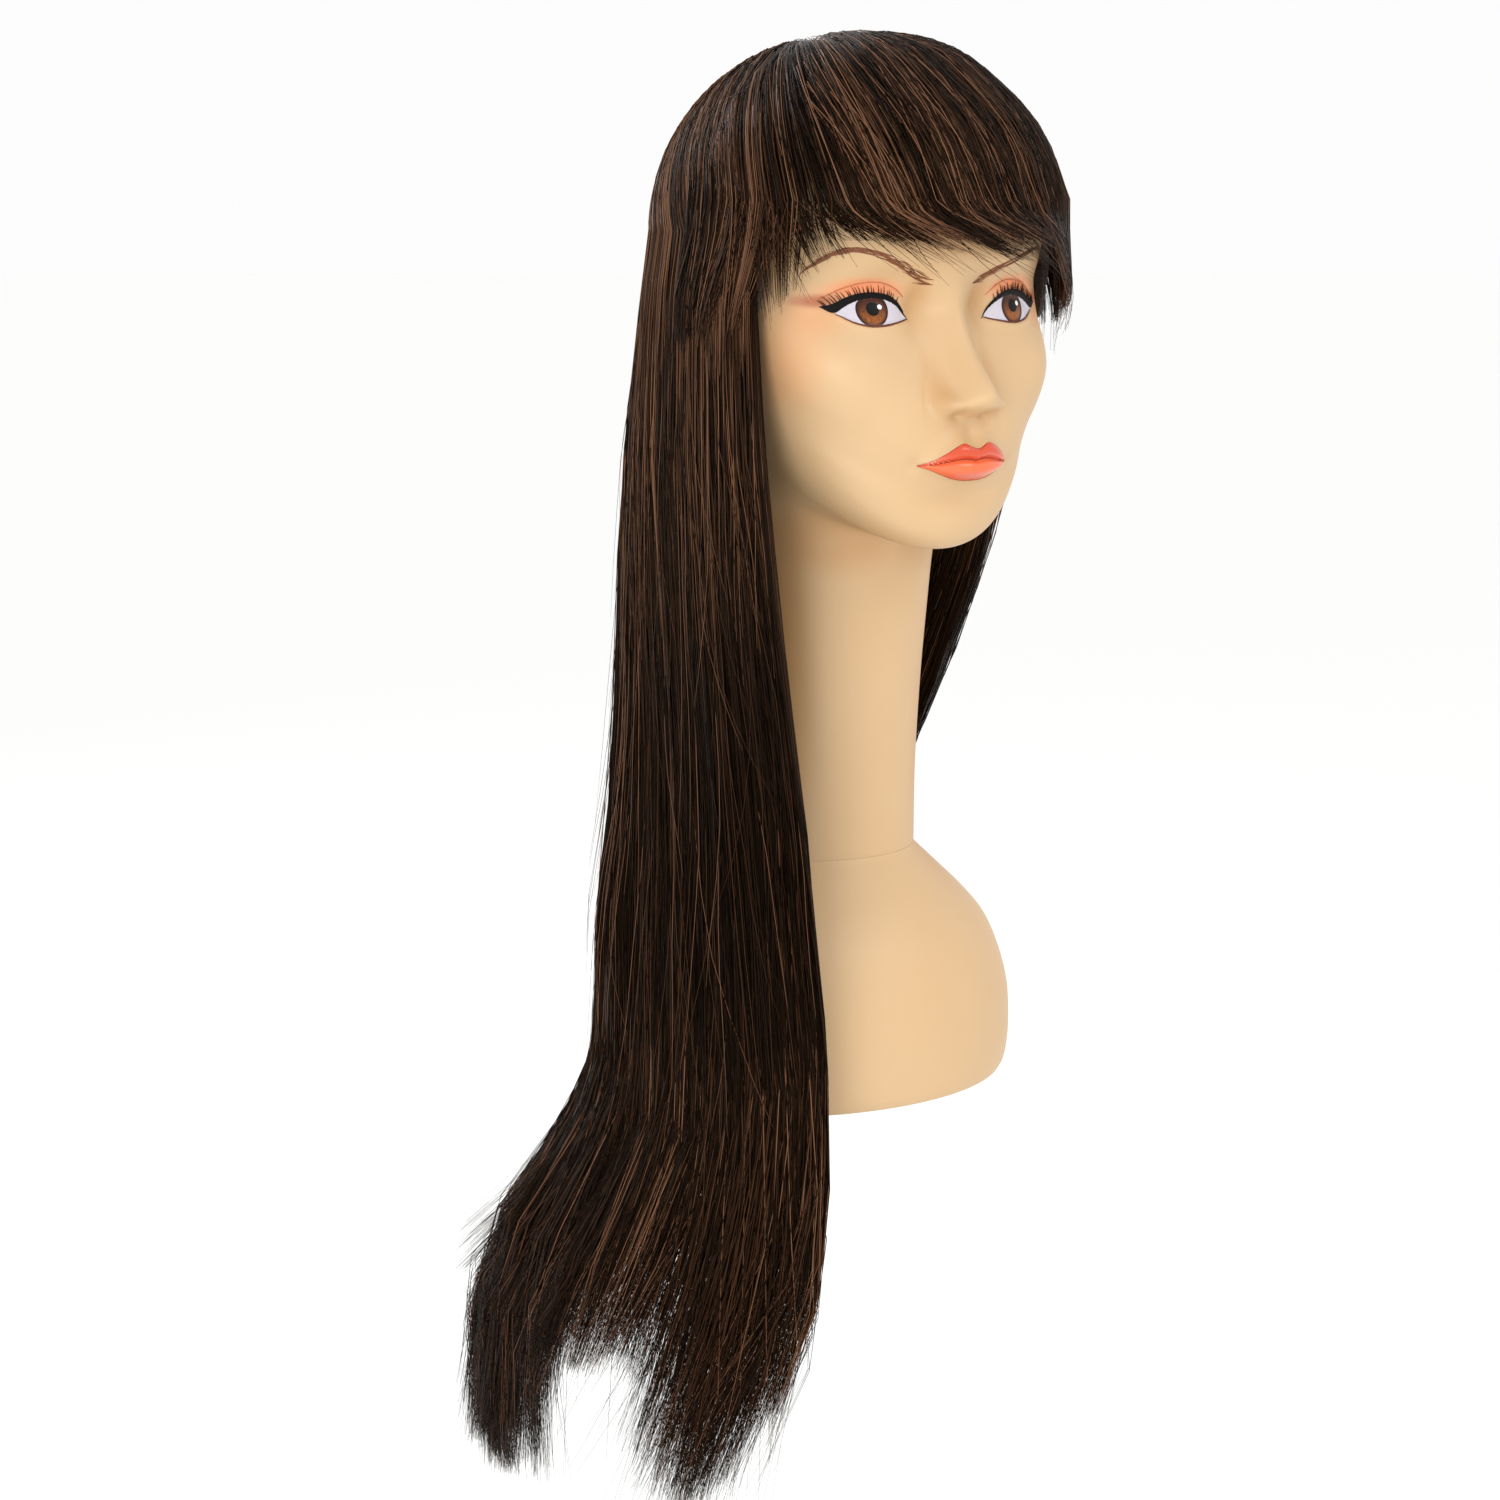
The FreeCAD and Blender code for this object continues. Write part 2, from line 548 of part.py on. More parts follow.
# ---------------------------------------------------------------- check and export
doc.recompute()
for item in doc.Objects:
    if "Invalid" in item.State or "Error" in item.State:
        raise RuntimeError(f"{item.Label} did not compute: {item.State}")
for node in NODES:
    if node.Shape.isNull() or not node.Shape.isValid():
        raise RuntimeError(f"{node.Label} has no valid shape")

os.makedirs("parts", exist_ok=True)
for node in NODES:
    node.Shape.exportStep(f"parts/{node.Label}.step")
    print(f"{node.Label:20s} solids {len(node.Shape.Solids)}  volume {node.Shape.Volume:10.0f}")
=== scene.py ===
import math
import random

import bmesh
import bpy
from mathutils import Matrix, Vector
from mathutils.bvhtree import BVHTree


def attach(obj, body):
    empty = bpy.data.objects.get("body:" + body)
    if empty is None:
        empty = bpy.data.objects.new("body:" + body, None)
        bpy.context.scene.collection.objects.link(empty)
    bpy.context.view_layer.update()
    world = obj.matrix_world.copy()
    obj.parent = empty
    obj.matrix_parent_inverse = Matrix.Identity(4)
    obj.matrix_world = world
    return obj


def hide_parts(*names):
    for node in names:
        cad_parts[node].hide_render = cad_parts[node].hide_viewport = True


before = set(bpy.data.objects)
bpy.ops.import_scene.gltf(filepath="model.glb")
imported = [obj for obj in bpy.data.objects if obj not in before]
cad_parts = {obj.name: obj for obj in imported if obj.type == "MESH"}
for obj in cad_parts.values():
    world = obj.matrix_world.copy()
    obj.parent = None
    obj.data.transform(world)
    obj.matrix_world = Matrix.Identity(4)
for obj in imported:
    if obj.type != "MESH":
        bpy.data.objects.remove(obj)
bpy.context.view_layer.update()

bl_info = {
    "name": "Mannequin Head with Long Wig",
    "version": (1, 0, 0),
    "blender": (4, 5, 0),
    "location": "3D View > Sidebar > Mannequin",
    "description": "Painted display head with a long straight wig, built round its frame",
    "category": "Add Mesh",
}

MM = 0.001


# ------------------------------------------------------------------ settings
class MannequinPaint(bpy.types.PropertyGroup):
    """Colours of the painted head, as sRGB hex values."""
    skin: bpy.props.StringProperty(name="Skin", description="Skin paint", default="#D5B48A")
    blush: bpy.props.StringProperty(name="Blush", description="Airbrushed cheek colour",
                                    default="#E39A66")
    shadow: bpy.props.StringProperty(name="Eye shadow", description="Airbrushed upper lid",
                                     default="#EA8F60")
    crease: bpy.props.StringProperty(name="Lid crease", description="Line over the lid",
                                     default="#A8502F")
    iris: bpy.props.StringProperty(name="Iris", description="Iris rim", default="#451F0D")
    iris_glow: bpy.props.StringProperty(name="Iris glow", description="Lower part of the iris",
                                        default="#B0682F")
    upper_lip: bpy.props.StringProperty(name="Upper lip", description="Upper lip paint",
                                        default="#D2481F")
    lower_lip: bpy.props.StringProperty(name="Lower lip", description="Lower lip paint",
                                        default="#EC6E40")
    brow: bpy.props.StringProperty(name="Brow", description="Brow strokes", default="#8A5232")


class MannequinHair(bpy.types.PropertyGroup):
    """Sizes of the wig's fibres."""
    width: bpy.props.FloatProperty(name="Fibre width", description="Width of a drawn fibre",
                                   default=0.00046, subtype="DISTANCE", unit="LENGTH")
    fibres: bpy.props.IntProperty(name="Fibres in a lock", description="Fibres in one hair piece",
                                  default=2450)
    clumps: bpy.props.IntProperty(name="Clumps in a lock", description="Groups that part at the ends",
                                  default=30)
    seed: bpy.props.IntProperty(name="Seed", description="Start of the random draws", default=7)


class MannequinStage(bpy.types.PropertyGroup):
    """Floor and camera."""
    floor_drop: bpy.props.FloatProperty(name="Floor drop", description="Floor below the base",
                                        default=-0.42, subtype="DISTANCE", unit="LENGTH")
    azimuth: bpy.props.FloatProperty(name="Azimuth", description="Camera's turn about the head",
                                     default=math.radians(-35.0), subtype="ANGLE")
    pitch: bpy.props.FloatProperty(name="Pitch", description="Camera's downward tilt",
                                   default=math.radians(10.0), subtype="ANGLE")
    distance: bpy.props.FloatProperty(name="Distance", description="Camera to the bust's axis",
                                      default=1.523, subtype="DISTANCE", unit="LENGTH")
    lens: bpy.props.FloatProperty(name="Lens", description="Focal length in millimetres",
                                  default=76.8)


# ------------------------------------------------------------------ small tools
def linear(code):
    """Linear RGBA of an sRGB hex colour."""
    values = [int(code[place:place + 2], 16) / 255.0 for place in (1, 3, 5)]
    return [v / 12.92 if v <= 0.04045 else ((v + 0.055) / 1.055) ** 2.4 for v in values] + [1.0]


def add(tree, kind, settings=(), links=()):
    """One shader node with its settings and the sockets that feed it."""
    made = tree.nodes.new(kind)
    for name, value in dict(settings).items():
        if isinstance(name, str) and hasattr(made, name):
            setattr(made, name, value)
        else:
            made.inputs[name].default_value = value
    for name, socket in dict(links).items():
        tree.links.new(socket, made.inputs[name])
    return made


def surface(name, settings):
    """A new material with a Principled shader. Returns material, node tree and shader."""
    made = bpy.data.materials.new(name)
    made.use_nodes = True
    tree = made.node_tree
    tree.nodes.clear()
    shader = add(tree, "ShaderNodeBsdfPrincipled", settings)
    add(tree, "ShaderNodeOutputMaterial", links={"Surface": shader.outputs["BSDF"]})
    return made, tree, shader


def feed(tree, socket, shader, name):
    tree.links.new(socket, shader.inputs[name])


def bump(tree, height, shader, strength, distance):
    """Bump from a height socket, with the distance in metres."""
    made = add(tree, "ShaderNodeBump", {"Strength": strength, "Distance": distance},
               {"Height": height})
    feed(tree, made.outputs["Normal"], shader, "Normal")


def along(points, place):
    """Value at a place on a smooth curve through (place, value) points, flat past its ends."""
    if place <= points[0][0]:
        return points[0][1]
    for number in range(len(points) - 1):
        (start, low), (end, high) = points[number], points[number + 1]
        if place <= end:
            before = points[max(number - 1, 0)]
            after = points[min(number + 2, len(points) - 1)]
            share = (place - start) / (end - start)
            span = end - start
            slope_in = (high - before[1]) / (end - before[0]) * span
            slope_out = (after[1] - low) / (after[0] - start) * span
            squared, cubed = share * share, share ** 3
            return (low * (2 * cubed - 3 * squared + 1) + high * (3 * squared - 2 * cubed)
                    + slope_in * (cubed - 2 * squared + share) + slope_out * (cubed - squared))
    return points[-1][1]


def step(low, high, value):
    """Smooth 0 to 1 as value goes from low to high."""
    share = min(1.0, max(0.0, (value - low) / (high - low)))
    return share * share * (3.0 - 2.0 * share)


def mix(low, high, share):
    return low + (high - low) * share


def mesh_piece(name, bm, materials, smooth=True):
    """A finished piece from a bmesh, at the origin."""
    data = bpy.data.meshes.new(name)
    bm.to_mesh(data)
    bm.free()
    for material in materials:
        data.materials.append(material)
    for face in data.polygons:
        face.use_smooth = smooth
    piece = bpy.data.objects.new(name, data)
    bpy.context.scene.collection.objects.link(piece)
    return piece


# ------------------------------------------------------------------ the head's stations
# Each station is a closed ring, in millimetres: Y and Z at its front, half width, Y and Z at its
# sides, Y and Z at its back, and the fullness of its front half (2 is an ellipse).
FLARE = [(0.9, 0.915), (4.0, 0.955), (11.0, 0.985), (22.0, 1.0), (40.0, 0.98), (57.0, 0.89),
         (73.0, 0.745), (86.0, 0.53), (98.0, 0.28), (109.5, 0.035), (112.0, 0.0)]
NECK_RADIUS, BUST_WIDTH, BUST_DEPTH, BUST_FORWARD = 52.0, 102.0, 84.0, 5.0


def bust_station(z, share):
    """Ring of the bust, from the neck's size at share 0 to its widest at 1."""
    half = mix(NECK_RADIUS, BUST_WIDTH, share)
    deep = mix(NECK_RADIUS, BUST_DEPTH, share)
    middle = -BUST_FORWARD * share
    return (middle - deep, z, half, middle, z, middle + deep, z, 2.0)


RIM = [(-1.0, 77.0, 1.0, 0.0, 77.0, 1.0, 77.0, 2.0),
       (-12.3, 76.5, 12.3, 0.0, 76.5, 12.3, 76.5, 2.0),
       (-12.3, 16.0, 12.3, 0.0, 16.0, 12.3, 16.0, 2.0),
       (-82.0, 16.0, 94.0, -4.5, 16.0, 73.0, 16.0, 2.0),
       (-82.0, 1.0, 94.0, -4.5, 1.0, 73.0, 1.0, 2.0),
       (-83.2, 0.0, 95.2, -4.5, 0.0, 74.2, 0.0, 2.0)]
THROAT = [(-52.0, 114.5, 52.0, 0.0, 114.5, 52.0, 114.5, 2.0),
          (-53.3, 150.0, 50.8, -2.5, 150.0, 48.3, 150.0, 2.0),
          (-57.0, 190.0, 50.0, -7.0, 190.0, 43.0, 190.0, 2.0),
          (-61.5, 225.0, 50.0, -11.5, 225.0, 38.5, 227.0, 2.0),
          (-65.5, 250.0, 50.5, -16.0, 258.0, 36.5, 262.0, 2.0),
          (-71.0, 264.0, 52.0, -20.0, 280.0, 37.0, 285.0, 2.0),
          (-86.0, 263.0, 54.5, -25.0, 293.0, 38.5, 303.0, 2.0),
          (-98.0, 260.6, 58.5, -29.5, 301.0, 41.0, 315.0, 2.05),
          (-106.0, 261.6, 63.0, -33.0, 309.0, 44.5, 325.0, 2.1)]
FACE = [(-111.5, 266.0, 66.5, -36.0, 317.0, 47.5, 333.0, 2.15),
        (-114.0, 275.0, 69.5, -38.0, 324.0, 50.5, 341.0, 2.2),
        (-114.0, 285.0, 71.8, -39.0, 331.0, 53.0, 349.0, 2.3),
        (-117.0, 295.0, 73.5, -40.0, 338.0, 54.8, 356.0, 2.35),
        (-119.5, 306.0, 75.0, -41.0, 345.0, 56.2, 363.0, 2.45),
        (-119.0, 318.0, 76.2, -41.5, 353.0, 57.0, 371.0, 2.55),
        (-115.5, 332.0, 77.0, -42.0, 361.0, 57.5, 379.0, 2.6),
        (-111.0, 346.0, 77.3, -42.0, 369.0, 57.8, 386.0, 2.65),
        (-108.5, 358.0, 77.3, -42.0, 376.0, 58.0, 392.0, 2.65),
        (-108.0, 369.0, 77.2, -42.0, 383.0, 58.0, 398.0, 2.6),
        (-111.5, 381.0, 77.1, -42.0, 391.0, 58.0, 404.0, 2.6),
        (-117.0, 393.0, 76.8, -42.0, 400.0, 57.6, 411.0, 2.55),
        (-120.0, 407.0, 76.0, -42.0, 411.0, 56.6, 420.0, 2.5)]
CROWN = [(-119.5, 422.0, 73.5, -42.0, 424.0, 54.5, 430.0, 2.45),
         (-114.0, 437.0, 68.5, -41.0, 437.0, 50.5, 440.0, 2.35),
         (-104.0, 451.0, 60.0, -39.0, 450.0, 43.0, 451.0, 2.2),
         (-89.0, 463.0, 47.5, -36.5, 462.0, 31.0, 462.0, 2.1),
         (-71.0, 471.0, 32.0, -34.5, 470.5, 13.5, 470.5, 2.0),
         (-51.0, 476.3, 16.0, -33.0, 476.0, -12.0, 476.0, 2.0),
         (-35.0, 478.0, 1.0, -33.0, 478.0, -31.0, 478.0, 2.0)]
STATIONS = RIM + [bust_station(z, share) for z, share in FLARE] + THROAT + FACE + CROWN
# Rows of faces between a station and the next: dense over the face, and sparse elsewhere.
ROWS = ([1, 1, 3, 3, 2] + [3] + [5] * (len(FLARE) - 1) + [4] + [8] * (len(THROAT) - 1) + [7]
        + [13] * (len(FACE) - 1) + [8] + [6] * (len(CROWN) - 1))
HEAD_COLUMNS = 280
FRONT_CROWDING = 0.42


def station_at(place):
    """Station at a place counted in stations: straight round the rim, smooth above it."""
    number = min(int(place), len(STATIONS) - 2)
    share = place - number
    before, here = STATIONS[max(number - 1, 0)], STATIONS[number]
    after, beyond = STATIONS[number + 1], STATIONS[min(number + 2, len(STATIONS) - 1)]
    if number < len(RIM) + 1:
        return [mix(h, a, share) for h, a in zip(here, after)]
    squared, cubed = share ** 2, share ** 3
    return [h * (2 * cubed - 3 * squared + 1) + a * (3 * squared - 2 * cubed)
            + 0.5 * (a - b) * (cubed - 2 * squared + share) + 0.5 * (e - h) * (cubed - squared)
            for b, h, a, e in zip(before, here, after, beyond)]


def ring_point(station, angle):
    """Point of a station's ring. The angle is 0 at the front and grows towards +X."""
    front_y, front_z, half, side_y, side_z, back_y, back_z, full = station
    sine, cosine = math.sin(angle), math.cos(angle)
    if cosine > 0.0:
        length, tip, power = side_y - front_y, front_z, full
    else:
        length, tip, power = back_y - side_y, back_z, 2.0
    reach = (abs(sine) / half) ** power + (abs(cosine) / length) ** power
    radius = reach ** (-1.0 / power)
    return Vector((radius * sine, side_y - radius * cosine, mix(side_z, tip, cosine ** 2)))


# ------------------------------------------------------------------ the face's relief
# Curves of (Z, value) and (|X|, Z) in millimetres.
NOSE_RIDGE = [(312.0, 0.0), (317.0, 0.8), (320.0, 3.0), (322.5, 10.0), (325.0, 17.5), (328.0, 21.0),
              (331.0, 21.8), (335.0, 20.0), (342.0, 15.8), (350.0, 11.5), (360.0, 7.6),
              (368.0, 5.2), (376.0, 3.0), (388.0, 0.8), (398.0, 0.0)]
NOSE_WIDTH = [(312.0, 8.0), (320.0, 9.5), (325.0, 11.0), (331.0, 9.6), (340.0, 8.6), (355.0, 7.4),
              (368.0, 7.0), (380.0, 9.0), (395.0, 12.0)]
LIP_TOP = [(0.0, 306.6), (2.5, 307.2), (6.5, 309.0), (10.0, 307.9), (15.0, 304.8), (20.0, 301.7),
           (24.5, 299.6)]
LIP_LINE = [(0.0, 301.6), (4.0, 302.2), (9.0, 301.9), (16.0, 300.6), (20.0, 299.9), (24.5, 299.5)]
LIP_FOOT = [(0.0, 292.6), (5.0, 292.8), (10.0, 293.8), (15.0, 295.7), (20.0, 297.9),
            (24.5, 299.4)]
LID_TOP = [(21.5, 362.3), (24.0, 365.4), (28.0, 368.8), (33.0, 371.0), (39.0, 371.8),
           (45.0, 370.7), (50.0, 368.4), (54.5, 365.2)]
LID_FOOT = [(21.5, 362.3), (25.0, 361.4), (30.0, 360.5), (36.0, 359.7), (42.0, 359.8),
            (48.0, 361.3), (54.5, 365.1)]
LINER_TOP = [(20.5, 361.6), (24.0, 367.0), (28.0, 370.9), (33.0, 373.3), (39.0, 374.2),
             (45.0, 373.6), (50.0, 371.9), (55.0, 369.3), (59.8, 368.2)]
LINER_FOOT = [(20.5, 361.4)] + LID_TOP[1:7] + [(55.0, 365.4), (59.8, 368.0)]
LID_CREASE = [(22.0, 371.0), (28.0, 375.6), (34.0, 378.0), (40.0, 378.4), (46.0, 377.4),
              (52.0, 375.2), (58.0, 372.0), (66.0, 369.0)]
BROW_LINE = [(12.0, 378.0), (17.5, 380.5), (23.0, 383.0), (28.5, 385.4), (35.0, 388.2),
             (41.0, 390.4), (46.0, 391.8), (50.5, 392.2), (56.5, 390.6), (62.0, 386.2),
             (67.0, 381.5)]
EYE_MIDDLE = (39.0, 366.4)
MOUTH_REACH = 24.3
LASHES, BROW_STROKES = 26, 120


def spot(x, z, middle_x, middle_z, reach_x, reach_z):
    """Smooth bump of height 1 over an oval."""
    return math.exp(-((x - middle_x) / reach_x) ** 2 - ((z - middle_z) / reach_z) ** 2)


def lip_relief(x, z):
    """How far the lips stand out."""
    if x > 25.0 or z < 286.0 or z > 317.0:
        return 0.0
    top, line, foot = along(LIP_TOP, x), along(LIP_LINE, x), along(LIP_FOOT, x)
    fade = max(0.0, 1.0 - (x / 25.0) ** 2) ** 0.75
    profile = [(foot - 6.0, 0.0), (foot - 1.6, 0.6), (foot + 0.6, 3.6),
               (mix(foot, line, 0.45), 6.6), (mix(foot, line, 0.82), 5.2), (line, 2.6),
               (mix(line, top, 0.25), 5.0), (mix(line, top, 0.62), 6.0), (top, 4.6),
               (top + 1.4, 2.8), (top + 4.5, 0.9), (top + 9.0, 0.0)]
    profile = [(place + 0.001 * number, value) for number, (place, value) in enumerate(profile)]
    return fade * along(profile, z)


def relief(x, z):
    """How far the front of the face stands out at |X| = x and height z."""
    ridge = along(NOSE_RIDGE, z)
    width = along(NOSE_WIDTH, z)
    out = ridge * math.exp(-0.95 * (x / width) ** 2.2)
    out += 7.0 * spot(x, z, 12.8, 326.2, 4.8, 5.6) - 1.8 * spot(x, z, 19.0, 327.0, 2.4, 6.5)
    out -= 3.2 * spot(x, z, 7.0, 321.4, 3.4, 1.8)
    out -= 0.9 * spot(x, z, 0.0, 313.0, 2.6, 4.5)
    out += 4.6 * spot(x, z, 0.0, 300.5, 21.0, 14.0)
    out += lip_relief(x, z) - 1.2 * spot(x, z, 26.0, 299.6, 2.6, 3.4)
    out += 2.2 * spot(x, z, 0.0, 274.0, 15.0, 9.0) - 1.6 * spot(x, z, 0.0, 285.5, 16.0, 4.5)
    out += 1.6 * spot(x, z, 30.0, 389.0, 20.0, 5.5)
    out -= 4.6 * spot(x, z, 17.5, 367.0, 7.5, 11.0) + 2.0 * spot(x, z, 32.0, 379.0, 15.0, 5.0)
    out -= 3.5 * spot(x, z, 39.0, 367.0, 24.0, 13.0)
    out += 3.0 * spot(x, z, 39.0, 365.5, 13.0, 8.0)
    out += 3.4 * spot(x, z, 52.0, 344.0, 17.0, 15.0) - 2.2 * spot(x, z, 44.0, 316.0, 12.0, 13.0)
    if 21.5 < x < 54.5:
        top, foot = along(LID_TOP, x), along(LID_FOOT, x)
        inside = step(foot - 0.5, foot + 0.3, z) - step(top - 0.3, top + 0.5, z)
        out -= 0.7 * inside * step(21.5, 25.0, x) * step(54.5, 51.0, x)
        out += 0.5 * math.exp(-((z - foot + 1.2) / 1.1) ** 2)
    if 20.0 < x < 66.0:
        near = along(LID_CREASE, x) - z
        out -= 0.9 * math.exp(-(near / 1.1) ** 2) * step(20.0, 27.0, x) * step(66.0, 56.0, x)
    return out


def head_point(place, angle):
    """Point of the finished head's surface, in metres."""
    point = ring_point(station_at(place), angle)
    if 255.0 < point.z < 402.0 and point.y < -55.0:
        inset = step(-55.0, -82.0, point.y)
        slant = Vector((point.x * 0.35, -60.0, 0.0)).normalized()
        point += slant * relief(abs(point.x), point.z) * inset
    return point * MM


def build_head(paint):
    """The bare head, neck and bust as one closed skin."""
    total = sum(ROWS)
    places = [number + part / rows for number, rows in enumerate(ROWS) for part in range(rows)]
    places.append(float(len(ROWS)))
    bm = bmesh.new()
    bmesh.ops.create_uvsphere(bm, u_segments=HEAD_COLUMNS, v_segments=total, radius=1.0)
    for vert in bm.verts:
        row = round((1.0 - math.acos(max(-1.0, min(1.0, vert.co.z))) / math.pi) * total)
        turn = math.atan2(vert.co.x, -vert.co.y)
        angle = turn - FRONT_CROWDING * math.sin(turn)
        vert.co = head_point(places[row], angle)
    bmesh.ops.recalc_face_normals(bm, faces=bm.faces)
    return mesh_piece("painted_head", bm, [skin_material(paint)])


def folded(tree):
    """Object coordinates with X made positive, so one pattern serves both sides."""
    place = add(tree, "ShaderNodeTexCoord").outputs["Object"]
    parts = add(tree, "ShaderNodeSeparateXYZ", links={0: place})
    size = add(tree, "ShaderNodeMath", {"operation": "ABSOLUTE"}, {0: parts.outputs["X"]})
    joined = add(tree, "ShaderNodeCombineXYZ", links={"X": size.outputs[0], "Y": parts.outputs["Y"],
                                                      "Z": parts.outputs["Z"]})
    return place, parts, joined.outputs[0]


def soft_oval(tree, place, middle, reach, strength):
    """Mask that fades from strength in the middle of an oval to nothing at its edge."""
    scale = [1.0 / (size * MM) for size in reach]
    shift = [-centre * MM * factor for centre, factor in zip(middle, scale)]
    local = add(tree, "ShaderNodeMapping", {"Location": shift, "Scale": scale}, {"Vector": place})
    far = add(tree, "ShaderNodeVectorMath", {"operation": "LENGTH"}, {0: local.outputs[0]})
    faded = add(tree, "ShaderNodeMapRange", {"interpolation_type": "SMOOTHERSTEP",
                                             "From Min": 1.0, "From Max": 0.15, "To Min": 0.0,
                                             "To Max": strength}, {"Value": far.outputs["Value"]})
    return faded.outputs["Result"]


def layer_colour(tree, under, over, mask):
    """A colour over another, where a mask says. Each is a colour or a socket."""
    made = add(tree, "ShaderNodeMix", {"data_type": "RGBA"}, {0: mask})
    for number, colour in ((6, under), (7, over)):
        if isinstance(colour, list):
            made.inputs[number].default_value = colour
        else:
            tree.links.new(colour, made.inputs[number])
    return made.outputs[2]


# Ovals alike on both sides: colour, middle, reach in millimetres, and strength. The first four
# are airbrushed blush and eye make-up; the tan ones after them are painted shade beside and
# under the nose, on the forehead under the fringe, on the neck, under the jaw and on the cheek
# beside the hair.
MAKEUP_AND_PAINTED_SHADE = [("blush", (64.0, -78.0, 346.0), (24.0, 32.0, 34.0), 0.42),
            ("blush", (60.0, -90.0, 366.0), (20.0, 30.0, 16.0), 0.40),
            ("shadow", (42.0, -102.0, 374.5), (27.0, 26.0, 8.6), 1.0),
            ("crease", (61.0, -92.0, 370.5), (15.0, 24.0, 4.6), 0.7),
            ("painted_shade", (17.0, -108.0, 371.0), (9.0, 26.0, 16.0), 0.6),
            ("painted_shade", (9.0, -130.0, 319.0), (10.0, 14.0, 7.0), 0.65),
            ("painted_shade", (16.0, -122.0, 338.0), (8.0, 22.0, 26.0), 0.50),
            ("painted_shade", (0.0, -116.0, 398.0), (72.0, 40.0, 15.0), 0.50),
            ("painted_shade", (48.0, -20.0, 190.0), (32.0, 70.0, 150.0), 1.0),
            ("painted_shade", (30.0, -66.0, 262.0), (52.0, 60.0, 24.0), 0.55),
            ("painted_shade", (78.0, -60.0, 320.0), (22.0, 40.0, 60.0), 0.25)]


def skin_material(paint):
    """Matte spirit paint over glass fibre, sprayed: soft sheen, faint orange peel, airbrushed
    cheeks and lids, and tan painted shade beside and under the nose, on the forehead under the
    fringe, under the jaw, on the cheek beside the hair and on the neck."""
    made, tree, shader = surface("sprayed_skin_paint", {"Roughness": 0.46, "IOR": 1.46})
    place, _, joined = folded(tree)
    grain = add(tree, "ShaderNodeTexNoise", {"Scale": 14.0, "Detail": 3.0}, {"Vector": place})
    ramp = add(tree, "ShaderNodeMix", {"data_type": "RGBA", 6: linear(paint.skin),
                                       7: linear("#CFAA7C")}, {0: grain.outputs["Fac"]})
    colour = ramp.outputs[2]
    # The tan below is painted shade: it darkens the face and neck where shade falls.
    codes = {"blush": paint.blush, "shadow": paint.shadow, "crease": paint.crease,
             "painted_shade": "#C3935E"}
    for kind, middle, reach, strength in MAKEUP_AND_PAINTED_SHADE:
        colour = layer_colour(tree, colour, linear(codes[kind]),
                              soft_oval(tree, joined, middle, reach, strength))
    feed(tree, colour, shader, "Base Color")
    peel = add(tree, "ShaderNodeTexNoise", {"Scale": 420.0, "Detail": 1.0}, {"Vector": place})
    bump(tree, peel.outputs["Fac"], shader, 0.05, 0.0004)
    return made


# ------------------------------------------------------------------ paint that lies on the face
class Face:
    """Finds the head's surface from the front."""

    def __init__(self, piece):
        graph = bpy.context.evaluated_depsgraph_get()
        self.tree = BVHTree.FromObject(piece, graph)

    def at(self, x, z, lift):
        """Point on the surface in front of (x, z), raised by lift, all in millimetres."""
        start = Vector((x * MM, -0.3, z * MM))
        hit, normal = self.tree.ray_cast(start, Vector((0.0, 1.0, 0.0)))[:2]
        if hit is None:
            raise RuntimeError(f"no skin in front of x {x:.1f}, z {z:.1f}")
        return hit + normal * lift * MM


def height_of(points):
    """Height of a curve of the face as a function of X."""
    return lambda x: along(points, abs(x))


def laid_film(name, bm, material):
    """A film of paint as a piece, merged where it narrows to a point and facing forwards."""
    bmesh.ops.remove_doubles(bm, verts=bm.verts, dist=0.000002)
    bmesh.ops.recalc_face_normals(bm, faces=bm.faces)
    if sum(item.normal.y * item.calc_area() for item in bm.faces) > 0.0:
        bmesh.ops.reverse_faces(bm, faces=bm.faces)
    return mesh_piece(name, bm, [material])


def film(name, face, side, foot, top, span, grid, lift, material):
    """A thin film of paint between two curves of (|X|, Z), on the side -1 or 1."""
    columns, rows = grid
    bm = bmesh.new()
    bmesh.ops.create_grid(bm, x_segments=columns, y_segments=rows, size=1.0)
    for vert in bm.verts:
        x = mix(span[0], span[1], 0.5 + 0.5 * vert.co.x)
        z = mix(foot(x), top(x), 0.5 + 0.5 * vert.co.y)
        vert.co = face.at(side * x, z, lift)
    return laid_film(name, bm, material)


def disc(name, face, centre, radius, lift, material, cut=None):
    """A round spot of paint. cut limits its height: a function of |X|."""
    bm = bmesh.new()
    bmesh.ops.create_grid(bm, x_segments=22, y_segments=22, size=1.0)
    for vert in bm.verts:
        x = vert.co.x * math.sqrt(1.0 - 0.5 * vert.co.y ** 2)
        z = vert.co.y * math.sqrt(1.0 - 0.5 * vert.co.x ** 2)
        x, z = centre[0] + x * radius, centre[1] + z * radius
        if cut:
            z = min(z, cut(abs(x)))
        vert.co = face.at(x, z, lift)
    return laid_film(name, bm, material)


def plain(name, code, roughness, gloss=0.5):
    """Brushed or dipped paint of one colour. gloss is its specular level."""
    return surface(name, {"Base Color": linear(code), "Roughness": roughness,
                          "Specular IOR Level": gloss})[0]


